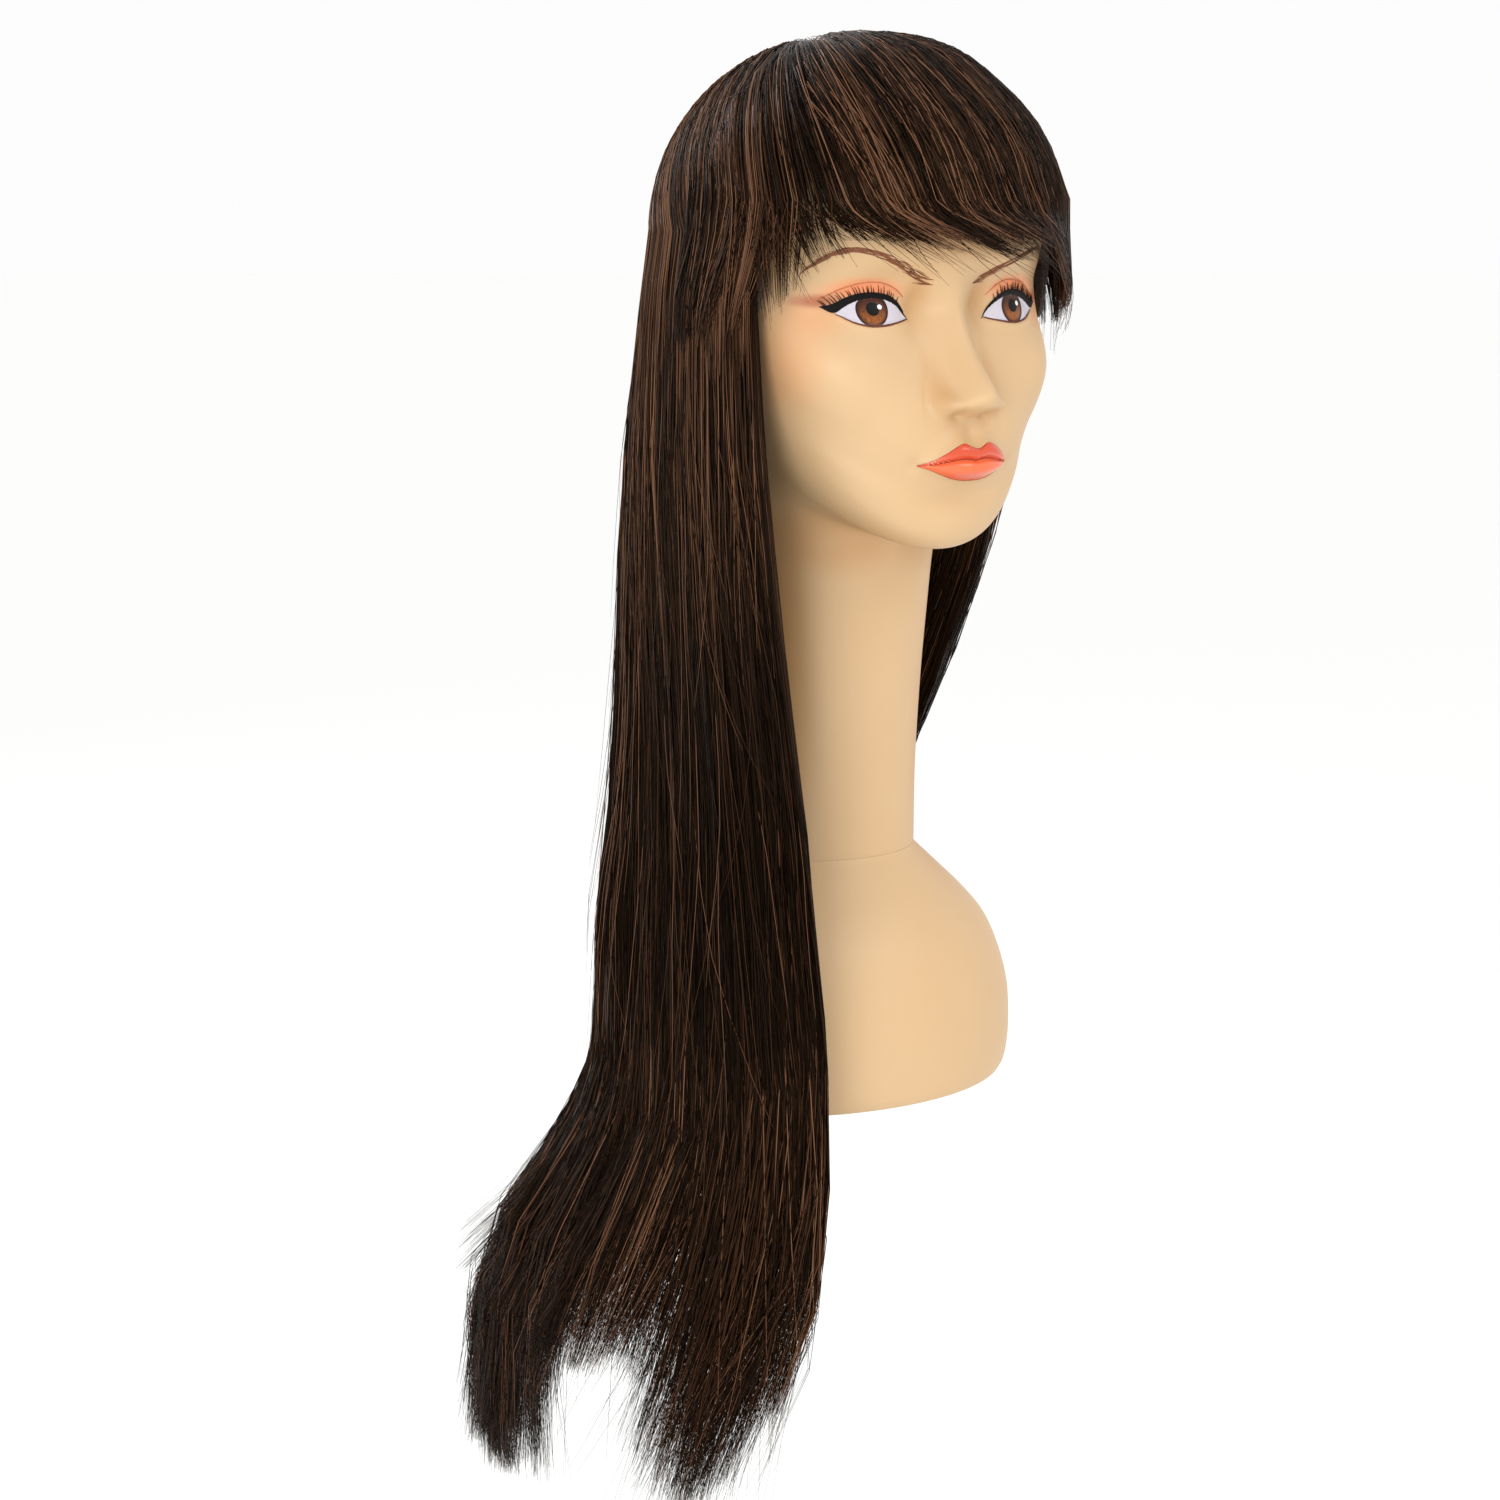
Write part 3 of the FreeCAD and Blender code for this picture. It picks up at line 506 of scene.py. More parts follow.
def strand_piece(name, paths, width, materials):
    """Many fine closed strands in one mesh. Each path is (points, widths, material number)."""
    profile = bpy.data.curves.new(name + "_profile", "CURVE")
    profile.dimensions = "2D"
    corners = profile.splines.new("POLY")
    corners.points.add(2)
    for number in range(3):
        turn = 2.0 * math.pi * number / 3.0
        corners.points[number].co = (0.5 * width * math.cos(turn), 0.5 * width * math.sin(turn),
                                     0.0, 1.0)
    corners.use_cyclic_u = True
    profile_object = bpy.data.objects.new(name + "_profile", profile)
    curve = bpy.data.curves.new(name + "_curve", "CURVE")
    curve.dimensions = "3D"
    curve.bevel_mode = "OBJECT"
    curve.bevel_object = profile_object
    curve.use_fill_caps = True
    for material in materials:
        curve.materials.append(material)
    for points, widths, number in paths:
        spline = curve.splines.new("POLY")
        spline.points.add(len(points) - 1)
        flat = []
        for point in points:
            flat.extend((point[0], point[1], point[2], 1.0))
        spline.points.foreach_set("co", flat)
        spline.points.foreach_set("radius", widths)
        spline.material_index = number
    source = bpy.data.objects.new(name + "_curve", curve)
    bpy.context.scene.collection.objects.link(source)
    graph = bpy.context.evaluated_depsgraph_get()
    data = bpy.data.meshes.new_from_object(source.evaluated_get(graph))
    data.name = name
    bpy.data.objects.remove(source)
    bpy.data.objects.remove(profile_object)
    data.polygons.foreach_set("use_smooth", [True] * len(data.polygons))
    piece = bpy.data.objects.new(name, data)
    bpy.context.scene.collection.objects.link(piece)
    return piece


# ------------------------------------------------------------------ painting the face
def stroke_path(face, points, thick, lift):
    """A brush stroke through (x, z) points: thin at both ends, on the skin."""
    path = [face.at(x, z, lift) for x, z in points]
    last = len(points) - 1
    widths = [thick * max(0.12, math.sin(math.pi * (0.15 + 0.8 * number / last)))
              for number in range(last + 1)]
    return path, widths, 0


def paint_eye(face, side, paints, draws):
    """One painted eye: white, iris, pupil, a glint painted in as its highlight, liner, lashes."""
    label = "left" if side > 0 else "right"
    made = []
    lid_top, lid_foot, liner_top = height_of(LID_TOP), height_of(LID_FOOT), height_of(LINER_TOP)
    made.append(film(f"eye_white_{label}", face, side, lid_foot, lid_top, (21.6, 54.4), (44, 16),
                     0.12, paints["white"]))
    x, z = side * EYE_MIDDLE[0], EYE_MIDDLE[1]
    made.append(disc(f"iris_{label}", face, (x, z), 7.2, 0.20, paints["iris"], cut=lid_top))
    made.append(disc(f"pupil_{label}", face, (x, z + 0.6), 2.9, 0.27, paints["pupil"],
                     cut=lid_top))
    # The glint is painted highlight: a white spot standing for the lamps' reflection in the eye.
    made.append(disc(f"glint_{label}", face, (x + 3.2, z + 1.4), 1.05, 0.34, paints["glint"]))
    made.append(film(f"eye_liner_{label}", face, side, height_of(LINER_FOOT), liner_top,
                     (20.6, 59.7), (60, 5), 0.32, paints["liner"]))
    lower = []
    for shift, thick in ((0.0, 1.0), (-0.25, 0.8)):
        points = [(side * x, lid_foot(x) + shift) for x in
                  [mix(21.6, 54.6, number / 16.0) for number in range(17)]]
        lower.append(stroke_path(face, points, thick, 0.25))
    made.append(strand_piece(f"lower_lid_line_{label}", lower, 0.9 * MM, [paints["lower_lid"]]))
    fold = [(side * x, along(LID_CREASE, x)) for x in
            [mix(23.0, 65.0, number / 24.0) for number in range(25)]]
    soft = [stroke_path(face, [(x, z + shift) for x, z in fold], thick, 0.03)
            for shift, thick in ((0.0, 1.0), (0.35, 0.6))]
    made.append(strand_piece(f"lid_crease_{label}", soft, 0.7 * MM, [paints["lid_crease"]]))
    lashes = []
    for number in range(LASHES):
        x = mix(27.0, 58.5, (number + draws.uniform(0.1, 0.9)) / LASHES)
        lean = mix(-0.35, 1.0, (x - 27.0) / 33.0)
        long = draws.uniform(2.6, 4.6)
        root = liner_top(x) - 0.6
        points = [(side * (x + lean * long * share * (0.5 + 0.5 * share)),
                   root + long * share) for share in (0.0, 0.35, 0.7, 1.0)]
        path = [face.at(px, pz, 0.25) for px, pz in points]
        lashes.append((path, [1.0, 0.85, 0.55, 0.15], 0))
    made.append(strand_piece(f"painted_lashes_{label}", lashes, 0.55 * MM, [paints["liner"]]))
    return made


def paint_brow(face, side, paints, draws):
    """Many thin brush strokes that follow the brow."""
    strokes = []
    for number in range(BROW_STROKES):
        share = (number + draws.random()) / BROW_STROKES
        x = mix(10.5, 60.0, share)
        full = mix(2.6, 0.6, share ** 0.8) * min(1.0, 0.5 + share * 5.0)
        z = along(BROW_LINE, x) + draws.uniform(-0.85, 0.85) * full
        long = draws.uniform(5.0, 9.5)
        slope = (along(BROW_LINE, x + 2.0) - along(BROW_LINE, x - 2.0)) / 4.0
        slope += draws.uniform(-0.02, 0.10) * (1.0 - share)
        points = [(side * min(x + long * part, 66.0), z + slope * long * part
                   - 0.012 * (long * part) ** 2) for part in (0.0, 0.3, 0.6, 1.0)]
        strokes.append(stroke_path(face, points, draws.uniform(0.5, 1.0), 0.06))
    label = "left" if side > 0 else "right"
    return strand_piece(f"brow_{label}", strokes, 0.66 * MM, [paints["brow"]])


def paint_lips(face, paints):
    """Upper lip, lower lip, the dark line between them and the lower rim."""
    made = []
    span = (-MOUTH_REACH, MOUTH_REACH)
    top, line, foot = height_of(LIP_TOP), height_of(LIP_LINE), height_of(LIP_FOOT)
    made.append(film("upper_lip_paint", face, 1, line, top, span, (80, 14), 0.12,
                     paints["upper_lip"]))
    made.append(film("lower_lip_paint", face, 1, foot, line, span, (80, 18), 0.12,
                     paints["lower_lip"]))
    rims = []
    for curve, thick in ((line, 1.3), (foot, 0.8), (top, 0.6)):
        across = [mix(-24.2, 24.2, number / 40.0) for number in range(41)]
        rims.append(stroke_path(face, [(x, curve(x)) for x in across], thick, 0.1))
    made.append(strand_piece("lip_line_paint", rims, 0.7 * MM, [paints["lip_line"]]))
    return made


def lip_material(name, low, high, low_z, high_z):
    """Enamelled lip paint: smooth and wet-looking, a shade darker towards its outline."""
    made, tree, shader = surface(name, {"Roughness": 0.24, "IOR": 1.5, "Coat Weight": 0.35,
                                        "Coat Roughness": 0.12})
    place = add(tree, "ShaderNodeTexCoord").outputs["Object"]
    parts = add(tree, "ShaderNodeSeparateXYZ", links={0: place})
    share = add(tree, "ShaderNodeMapRange", {"From Min": low_z * MM, "From Max": high_z * MM,
                                             "interpolation_type": "SMOOTHSTEP"},
                {"Value": parts.outputs["Z"]})
    colour = add(tree, "ShaderNodeMix", {"data_type": "RGBA", 6: linear(low), 7: linear(high)},
                 {0: share.outputs["Result"]})
    feed(tree, colour.outputs[2], shader, "Base Color")
    return made


def iris_material(paint):
    """Brushed iris: dark rim, and amber speckle below."""
    made, tree, shader = surface("iris_paint", {"Roughness": 0.25, "Specular IOR Level": 0.25})
    place, parts, joined = folded(tree)
    down = add(tree, "ShaderNodeMapRange", {"From Min": 0.3705, "From Max": 0.3605,
                                            "interpolation_type": "SMOOTHSTEP"},
               {"Value": parts.outputs["Z"]})
    centred = add(tree, "ShaderNodeMapping", {"Location": (-0.039, 0.0, -0.3664),
                                              "Scale": (1.0, 0.0, 1.0)}, {"Vector": joined})
    far = add(tree, "ShaderNodeVectorMath", {"operation": "LENGTH"}, {0: centred.outputs[0]})
    rim = add(tree, "ShaderNodeMapRange", {"From Min": 0.0048, "From Max": 0.0070,
                                           "interpolation_type": "SMOOTHSTEP"},
              {"Value": far.outputs["Value"]})
    speckle = add(tree, "ShaderNodeTexNoise", {"Scale": 900.0, "Detail": 2.0}, {"Vector": place})
    glow = add(tree, "ShaderNodeMath", {"operation": "MULTIPLY"},
               {0: down.outputs["Result"], 1: speckle.outputs["Fac"]})
    doubled = add(tree, "ShaderNodeMath", {"operation": "MULTIPLY", 1: 1.3, "use_clamp": True},
                  {0: glow.outputs[0]})
    warm = layer_colour(tree, linear(paint.iris), linear(paint.iris_glow), doubled.outputs[0])
    feed(tree, layer_colour(tree, warm, linear("#2C1208"), rim.outputs["Result"]), shader,
         "Base Color")
    return made


def build_ear(face_side):
    """A moulded ear, plain as on a display head: shell, rolled rim and hollow."""
    bm = bmesh.new()
    bmesh.ops.create_uvsphere(bm, u_segments=48, v_segments=32, radius=1.0)
    for vert in bm.verts:
        outward, back, up = vert.co.x, vert.co.y, vert.co.z
        far = math.hypot(back, up)
        rim = math.exp(-((far - 0.86) / 0.12) ** 2)
        bowl = math.exp(-((back + 0.25) / 0.34) ** 2 - ((up + 0.12) / 0.42) ** 2)
        fold = math.exp(-((math.hypot(back + 0.15, up - 0.1) - 0.55) / 0.1) ** 2)
        if outward > 0.0:
            outward += 0.35 * rim - 0.9 * bowl * outward + 0.22 * fold * step(-0.7, 0.2, up)
        width = mix(10.0, 14.5, step(-1.0, 0.5, up))
        lean = math.radians(12.0)
        y, z = back * width, up * 27.0
        vert.co = Vector((face_side * (78.0 + 5.0 * outward + 2.5 * max(0.0, back)),
                          -37.0 + y * math.cos(lean) + z * math.sin(lean) * 0.6,
                          354.0 + z * math.cos(lean) - y * math.sin(lean))) * MM
    bmesh.ops.recalc_face_normals(bm, faces=bm.faces)
    label = "left" if face_side > 0 else "right"
    return mesh_piece(f"ear_{label}", bm, [])


# ------------------------------------------------------------------ hair paths
# Inner side of the hanging hair, in millimetres: height, middle Y, half width, reach to the front
# and to the back, thickness as a share of 14 mm, first and last angle from the back in degrees,
# growing towards the right ear, and how far the ends have swung to the right and back.
CURTAIN = [(399.5, -42.0, 84.8, 88.5, 105.5, 0.20, -98.0, 112.0, 0.0),
           (375.0, -42.0, 86.6, 89.8, 107.0, 0.32, -97.0, 113.0, 0.0),
           (300.0, -40.0, 86.8, 92.0, 109.0, 0.75, -89.0, 119.0, 0.0),
           (240.0, -36.0, 87.0, 94.0, 106.0, 0.80, -79.0, 125.0, 0.0),
           (179.0, -30.0, 87.5, 96.0, 102.0, 0.80, -66.0, 132.0, 0.0),
           (131.0, -22.0, 90.5, 101.0, 97.0, 0.75, -57.0, 139.0, 0.0),
           (84.0, -12.0, 98.0, 108.5, 92.0, 0.58, -44.0, 144.0, 0.0),
           (57.0, -5.0, 104.0, 111.0, 87.5, 0.20, -42.0, 148.0, 0.0),
           (22.0, -5.0, 104.5, 112.0, 87.5, 0.15, -42.0, 149.0, 0.0),
           (0.0, -5.0, 104.5, 111.0, 87.5, 0.2, -42.0, 149.0, 1.0),
           (-22.0, -5.0, 104.5, 109.0, 87.5, 0.32, -42.0, 150.0, 6.0),
           (-44.0, -5.0, 104.5, 109.0, 87.5, 0.5, -42.0, 151.0, 18.0),
           (-61.0, -5.0, 104.5, 108.5, 87.5, 0.7, -41.0, 152.0, 33.0),
           (-78.0, -5.0, 104.0, 108.0, 87.5, 0.75, -41.0, 152.0, 43.0),
           (-100.0, -5.0, 104.0, 108.0, 87.5, 0.75, -40.0, 152.0, 52.0),
           (-146.0, -5.0, 104.0, 106.0, 87.5, 0.55, -37.0, 149.0, 58.0),
           (-170.0, -5.0, 104.0, 105.0, 87.5, 0.45, -35.0, 147.0, 54.0),
           (-197.0, -5.0, 104.0, 104.0, 87.5, 0.30, -33.0, 145.0, 48.0)]
# Lowest ends of the hair at a share across it.
LOW_ENDS = [(0.0, -98.0), (0.17, -100.0), (0.30, -112.0), (0.37, -166.0), (0.46, -188.0),
            (0.64, -190.0), (0.70, -176.0), (0.75, -128.0), (0.85, -126.0), (0.885, -166.0),
            (0.92, -188.0), (0.96, -166.0), (1.0, -136.0)]
DRIFT = Vector((-0.82, 0.57, 0.0))
SKULL_SIDE, SKULL_FRONT, SKULL_BACK = 84.8, 88.5, 105.5
BACK_FULLNESS = 2.1
LOCK_THICKNESS = 14.0
FLYAWAYS, WISPS, CROWN_FIBRES = 45, 90, 2000
TIP_SPREAD = 28.0
# Past these the swinging ends are drawn in: to the right, to the back, over what reach, and down.
EASE_RIGHT, EASE_BACK, EASE_REACH, LOWEST = 144.0, 116.0, 14.0, -191.5
HAIR_TOP = 399.5
HAIR_FULLNESS = 2.3
# Locks: name, first and last share of the curtain.
LOCKS = [("left_side_hair", 0.0, 0.17), ("left_back_hair", 0.17, 0.36), ("back_hair", 0.36, 0.54),
         ("right_back_hair", 0.54, 0.71), ("right_side_hair", 0.71, 0.86),
         ("right_front_hair", 0.86, 1.0)]
LAYERS = ("long", "weft", "short", "weft", "long", "weft", "weft")
UNDER_END = -15.0
WHORL = Vector((2.0, 38.0, 87.0)).normalized()
DOME_MIDDLE = Vector((0.0, -42.0, 395.0))


def curtain_level(z):
    """The curtain's sizes at a height."""
    if z >= CURTAIN[0][0]:
        return CURTAIN[0][1:]
    for upper, lower in zip(CURTAIN, CURTAIN[1:]):
        if z >= lower[0]:
            share = (upper[0] - z) / (upper[0] - lower[0])
            return [mix(high, low, share) for high, low in zip(upper[1:], lower[1:])]
    return CURTAIN[-1][1:]


LEVELS = [curtain_level(float(z)) for z in range(400, -200, -1)]


def level_at(z):
    """The same, read from the table made once for every millimetre."""
    place = min(max(400.0 - z, 0.0), len(LEVELS) - 1.001)
    number = int(place)
    share = place - number
    return [mix(high, low, share) for high, low in zip(LEVELS[number], LEVELS[number + 1])]


def around(angle, half, front, back, fullness=HAIR_FULLNESS):
    """Distance from the middle to a ring, at an angle from the back."""
    sine, cosine = math.sin(angle), math.cos(angle)
    length, power = (back, BACK_FULLNESS) if cosine > 0.0 else (front, fullness)
    return ((abs(sine) / half) ** power + (abs(cosine) / length) ** power) ** (-1 / power)


def hair_point(z, share, depth, extra=0.0):
    """Point of the hanging hair, in millimetres: share 0 at the left edge and 1 at the right.
    extra swings it further to the right and back."""
    middle, half, front, back, thick, first, last, drift = level_at(z)
    angle = math.radians(mix(first, last, share))
    grow = LOCK_THICKNESS * thick * depth
    radius = around(angle, half + grow, front + grow, back + grow)
    slide = drift * (1.0 - 0.74 * share ** 4) + extra
    return Vector((-radius * math.sin(angle) + DRIFT.x * slide,
                   middle + radius * math.cos(angle) + DRIFT.y * slide, z))


def dome_point(way, depth, half=SKULL_SIDE, front=SKULL_FRONT, grow=3.1):
    """Point of the hair over the skull, in a direction from the dome's middle."""
    grow *= depth
    length, power = (SKULL_BACK, BACK_FULLNESS) if way.y > 0.0 else (front, HAIR_FULLNESS)
    flat = ((abs(way.x) / (half + grow)) ** power
            + (abs(way.y) / (length + grow)) ** power) ** (1 / power)
    flatter = 5.0 * step(0.0, -0.5, way.y) * step(0.97, 0.7, way.z)
    rise = abs(way.z) / (87.0 + 6.0 * depth - flatter)
    fall = 2.25 if way.y < 0.0 else BACK_FULLNESS
    radius = (flat ** fall + rise ** fall) ** (-1 / fall)
    return DOME_MIDDLE + way * radius


def swept(start, end, share):
    """Direction part way along the arc between two directions."""
    turn = start.angle(end)
    if turn < 0.001:
        return end.copy()
    return ((start * math.sin((1.0 - share) * turn) + end * math.sin(share * turn))
            / math.sin(turn))


class Clump:
    """Fibres that hang together and part from the others at their ends."""

    def __init__(self, draws, first, last, spread):
        self.share = draws.uniform(first, last)
        self.depth = draws.random() ** 0.7
        self.tip = spread * draws.random() ** 1.8
        self.phase = draws.uniform(0.0, 6.28)
        self.sway = draws.uniform(0.4, 1.6)
        self.swing = draws.gauss(0.0, 0.012)
        self.flick = 14.0 * draws.random() ** 2
        self.tone = draws.random()


def fibre_tone(draws, clump_tone, lift=0.0):
    """Which of the hair colours a fibre takes: 0 darkest, 4 lightest."""
    value = 0.6 * draws.random() + 0.4 * clump_tone + lift
    return sum(value > limit for limit in (0.32, 0.58, 0.76, 0.90))


def taper(count, tip=0.3, soft=0.25):
    """Widths along a fibre of count points: full, then thin in its last quarter."""
    return [mix(1.0, tip, step(1.0 - soft, 1.0, number / (count - 1))) for number in range(count)]


def hanging_fibre(draws, first, last, clumps, layer):
    """One fibre of a lock. The layer is "long" for the outside, "short" for the layer that ends
    below the jaw or at the temple, whose lighter tones are painted highlight for the lit band
    down the side of the head, "wisp" for the tuft that turns out behind, and "weft" for fibres
    sewn on the lower wefts."""
    share = draws.uniform(first, last)
    clump = min(draws.sample(clumps, 6), key=lambda item: abs(item.share - share))
    tip = along(LOW_ENDS, mix(share, clump.share, 0.6)) + clump.tip + abs(draws.gauss(0.0, 7.0))
    start, emerge, lift = draws.uniform(0.05, 0.9), 0.0, -0.06
    if layer == "long":
        depth = 0.97 - 0.7 * draws.random() ** 1.4
        if draws.random() < 0.2:
            tip += draws.uniform(15.0, 90.0)
    elif layer == "short":
        depth = draws.uniform(0.75, 1.06)
        tip = mix(206.0, 248.0, clump.tip / TIP_SPREAD) + draws.gauss(0.0, 15.0)
        if draws.random() < 0.65 * (step(0.70, 0.80, share) + step(0.30, 0.20, share)):
            tip = mix(336.0, 356.0, clump.tip / TIP_SPREAD) + draws.gauss(0.0, 6.0)
            depth = draws.uniform(0.9, 1.12)
        # This layer takes lighter tones: painted highlight for the lit band down the side of the
        # head.
        lift = 0.30
    elif layer == "wisp":
        depth, lift = draws.uniform(0.8, 1.2), 0.05
        tip = draws.uniform(-94.0, -66.0)
    else:
        depth = draws.uniform(0.0, 0.75)
        if draws.random() < 0.4:
            emerge, lift = draws.uniform(0.2, 1.0), 0.12
    flick = clump.flick + 9.0 * step(0.84, 0.97, clump.share) + draws.gauss(0.0, 2.5)
    if layer == "wisp":
        flick += draws.uniform(14.0, 30.0)
    elif layer == "short":
        flick *= 0.12
    stray = draws.gauss(0.0, 0.004) if draws.random() < 0.9 else draws.gauss(0.0, 0.02)
    fine, wave = draws.uniform(0.0, 6.28), draws.uniform(0.022, 0.04)
    points = []
    top = draws.uniform(352.0, 405.0)
    if layer != "weft":
        join = (hair_point(HAIR_TOP, share, depth) - DOME_MIDDLE).normalized()
        points = [dome_point(swept(WHORL, join, mix(start, 1.0, number / 6.0)), depth)
                  for number in range(6)]
        top = HAIR_TOP
    levels = 7 if layer == "short" else 9
    for number in range(levels):
        z = mix(top, tip, (number / (levels - 1)) ** 0.85)
        low = step(40.0, -170.0, z)
        fall = step(380.0, 120.0, z)
        here = mix(share, clump.share + 0.35 * (share - clump.share), 0.8 * low)
        here += (clump.swing * 1.6 + stray * 2.0) * low
        here += 0.0045 * clump.sway * math.sin(z * 0.017 + clump.phase) * fall
        here += (0.0022 + 0.3 * abs(stray)) * math.sin(z * wave + fine) * fall
        if layer == "short":
            here += (2.0 * stray + 0.8 * clump.swing) * step(330.0, 220.0, z)
        here = min(max(here, 0.0), 0.995)
        deep = mix(depth, mix(clump.depth, depth, 0.35), low) + 6.0 * stray * fall
        deep += emerge * step(60.0, -60.0, z)
        swing = flick * step(tip + 60.0, tip - 10.0, z)
        points.append(hair_point(z, here, max(deep, 0.15), swing))
    return points, taper(len(points), 0.25, 0.25), fibre_tone(draws, clump.tone, lift)


def flyaway(draws, first, last):
    """A loose fibre that stands off the surface and wanders."""
    share = draws.uniform(first, last)
    top = draws.uniform(60.0, 395.0)
    tip = max(top - draws.uniform(80.0, 260.0), -185.0)
    off, turn = draws.uniform(0.15, 0.6), draws.gauss(0.0, 0.05)
    phase = draws.uniform(0.0, 6.28)
    points = []
    for number in range(8):
        part = number / 7.0
        z = mix(top, tip, part)
        here = share + turn * part ** 2 + 0.006 * math.sin(phase + 5.0 * part)
        points.append(hair_point(z, min(max(here, 0.0), 0.99),
                                 0.8 + off * math.sin(1.6 * part), 4.0 * part ** 2))
    return points, [0.55, 0.6, 0.6, 0.55, 0.5, 0.45, 0.35, 0.2], draws.choice((2, 3, 4))


def under_hair(name, first, last, lowest):
    """A closed sheet inside a lock, so that nothing shows through between its fibres: it stands for
    the packed inner fibres, in a dark brown that is partly their colour and partly painted shade.
    """
    bm = bmesh.new()
    bmesh.ops.create_grid(bm, x_segments=14, y_segments=44, size=1.0)
    for vert in bm.verts:
        share = mix(first, last, 0.5 + 0.5 * vert.co.x)
        z = mix(lowest, HAIR_TOP, 0.5 + 0.5 * vert.co.y)
        edge = 0.012 if first < 0.01 or last > 0.99 else 0.0
        share = min(max(share, edge), 1.0 - edge)
        vert.co = hair_point(z, share, 0.32) * MM
    bmesh.ops.solidify(bm, geom=bm.faces, thickness=0.0012)
    bmesh.ops.recalc_face_normals(bm, faces=bm.faces)
    return mesh_piece(name, bm, [])


def under_crown():
    """The base of the crown's hair, down to the hairline: the packed inner fibres, in a dark brown
    that is partly their colour and partly painted shade.
    """
    bm = bmesh.new()
    bmesh.ops.create_uvsphere(bm, u_segments=72, v_segments=48, radius=1.0)
    for vert in bm.verts:
        vert.co = dome_point(vert.co.normalized(), 0.05) * MM
    low = [vert for vert in bm.verts
           if vert.co.z < mix(0.444, 0.397, step(-0.105, -0.062, vert.co.y))]
    bmesh.ops.delete(bm, geom=low, context="VERTS")
    bmesh.ops.solidify(bm, geom=bm.faces, thickness=0.0009)
    bmesh.ops.recalc_face_normals(bm, faces=bm.faces)
    return mesh_piece("crown_base", bm, [])


def joined_piece(first, second):
    """Two meshes as one object: the second's faces come into the first."""
    bm = bmesh.new()
    bm.from_mesh(first.data)
    offset = len(first.data.materials)
    count = len(bm.faces)
    bm.from_mesh(second.data)
    bm.faces.ensure_lookup_table()
    for number in range(count, len(bm.faces)):
        bm.faces[number].material_index += offset
    for material in second.data.materials:
        first.data.materials.append(material)
    bm.to_mesh(first.data)
    bm.free()
    bpy.data.objects.remove(second)
    return first


def hair_materials():
    """Heat-set synthetic fibre: dark brown, smooth, with a long soft gloss."""
    made = []
    for number, code in enumerate(("#070403", "#0F0906", "#24160E", "#452D1E", "#7C5740")):
        made.append(surface(f"modacrylic_fibre_{number}", {
            "Base Color": linear(code), "Roughness": 0.27, "Specular IOR Level": 0.17,
            "Specular Tint": linear("#E3B48A")})[0])
    return made


def hair_tones():
    """The fibre materials, darkest first."""
    return [bpy.data.materials[f"modacrylic_fibre_{number}"] for number in range(5)]


def under_material():
    """The inner hair: packed fibres in a dark brown that is partly their colour and partly painted
    shade, with fine streaks.
    """
    made, tree, shader = surface("inner_fibre_and_painted_shade", {"Roughness": 0.6})
    place = add(tree, "ShaderNodeTexCoord").outputs["Object"]
    thin = add(tree, "ShaderNodeMapping", {"Scale": (900.0, 900.0, 12.0)}, {"Vector": place})
    streak = add(tree, "ShaderNodeTexNoise", {"Scale": 1.0, "Detail": 2.0},
                 {"Vector": thin.outputs[0]})
    feed(tree, layer_colour(tree, linear("#0E0805"), linear("#2B1A10"), streak.outputs["Fac"]),
         shader, "Base Color")
    bump(tree, streak.outputs["Fac"], shader, 0.6, 0.0006)
    return made


# Lower ends of the fringe: share across it from the right ear to the left, and height.
FRINGE_EDGE = [(0.0, 346.0), (0.10, 348.0), (0.16, 356.0), (0.21, 370.0), (0.26, 385.0),
               (0.34, 392.0), (0.42, 392.0), (0.50, 389.0), (0.58, 386.0), (0.66, 387.0),
               (0.74, 391.0), (0.80, 384.0), (0.84, 364.0), (0.88, 356.0), (0.94, 354.0),
               (1.0, 350.0)]
# How far its ends turn towards the left ear, as a share.
FRINGE_TURN = [(0.0, -0.02), (0.12, -0.03), (0.20, 0.0), (0.27, 0.08), (0.36, 0.16),
               (0.50, 0.19), (0.66, 0.15), (0.78, 0.08), (0.88, 0.0), (1.0, -0.02)]
FRINGE_SIDE = [(350.0, 92.0), (362.0, 92.8), (378.0, 91.2), (395.0, 88.0), (408.0, 85.4)]
FRINGE_FIRST, FRINGE_LAST = 84.0, 276.0
FRINGE_FRONT, FRINGE_JOIN = 86.5, 85.4
FRINGE_CLUMPS, FRINGE_FIBRES = 64, 2250
# Openings in the fringe: share, half width and how much higher its ends stop there.
OPENINGS = [(0.50, 0.016, 36.0), (0.40, 0.010, 18.0)]


def fringe_point(z, share, depth):
    """Point of the fringe where it hangs, share 0 at the right ear and 1 at the left."""
    angle = math.radians(mix(FRINGE_FIRST, FRINGE_LAST, share))
    inward = 1.0 - abs(2.0 * share - 1.0)
    rest = step(418.0, 376.0, z) * step(0.2, 0.62, inward)
    grow = 3.4 * depth
    radius = around(angle, along(FRINGE_SIDE, z) + grow, FRINGE_FRONT + grow - 5.6 * rest,
                    SKULL_BACK + grow, 2.35)
    return Vector((-radius * math.sin(angle), -42.0 + radius * math.cos(angle), z))


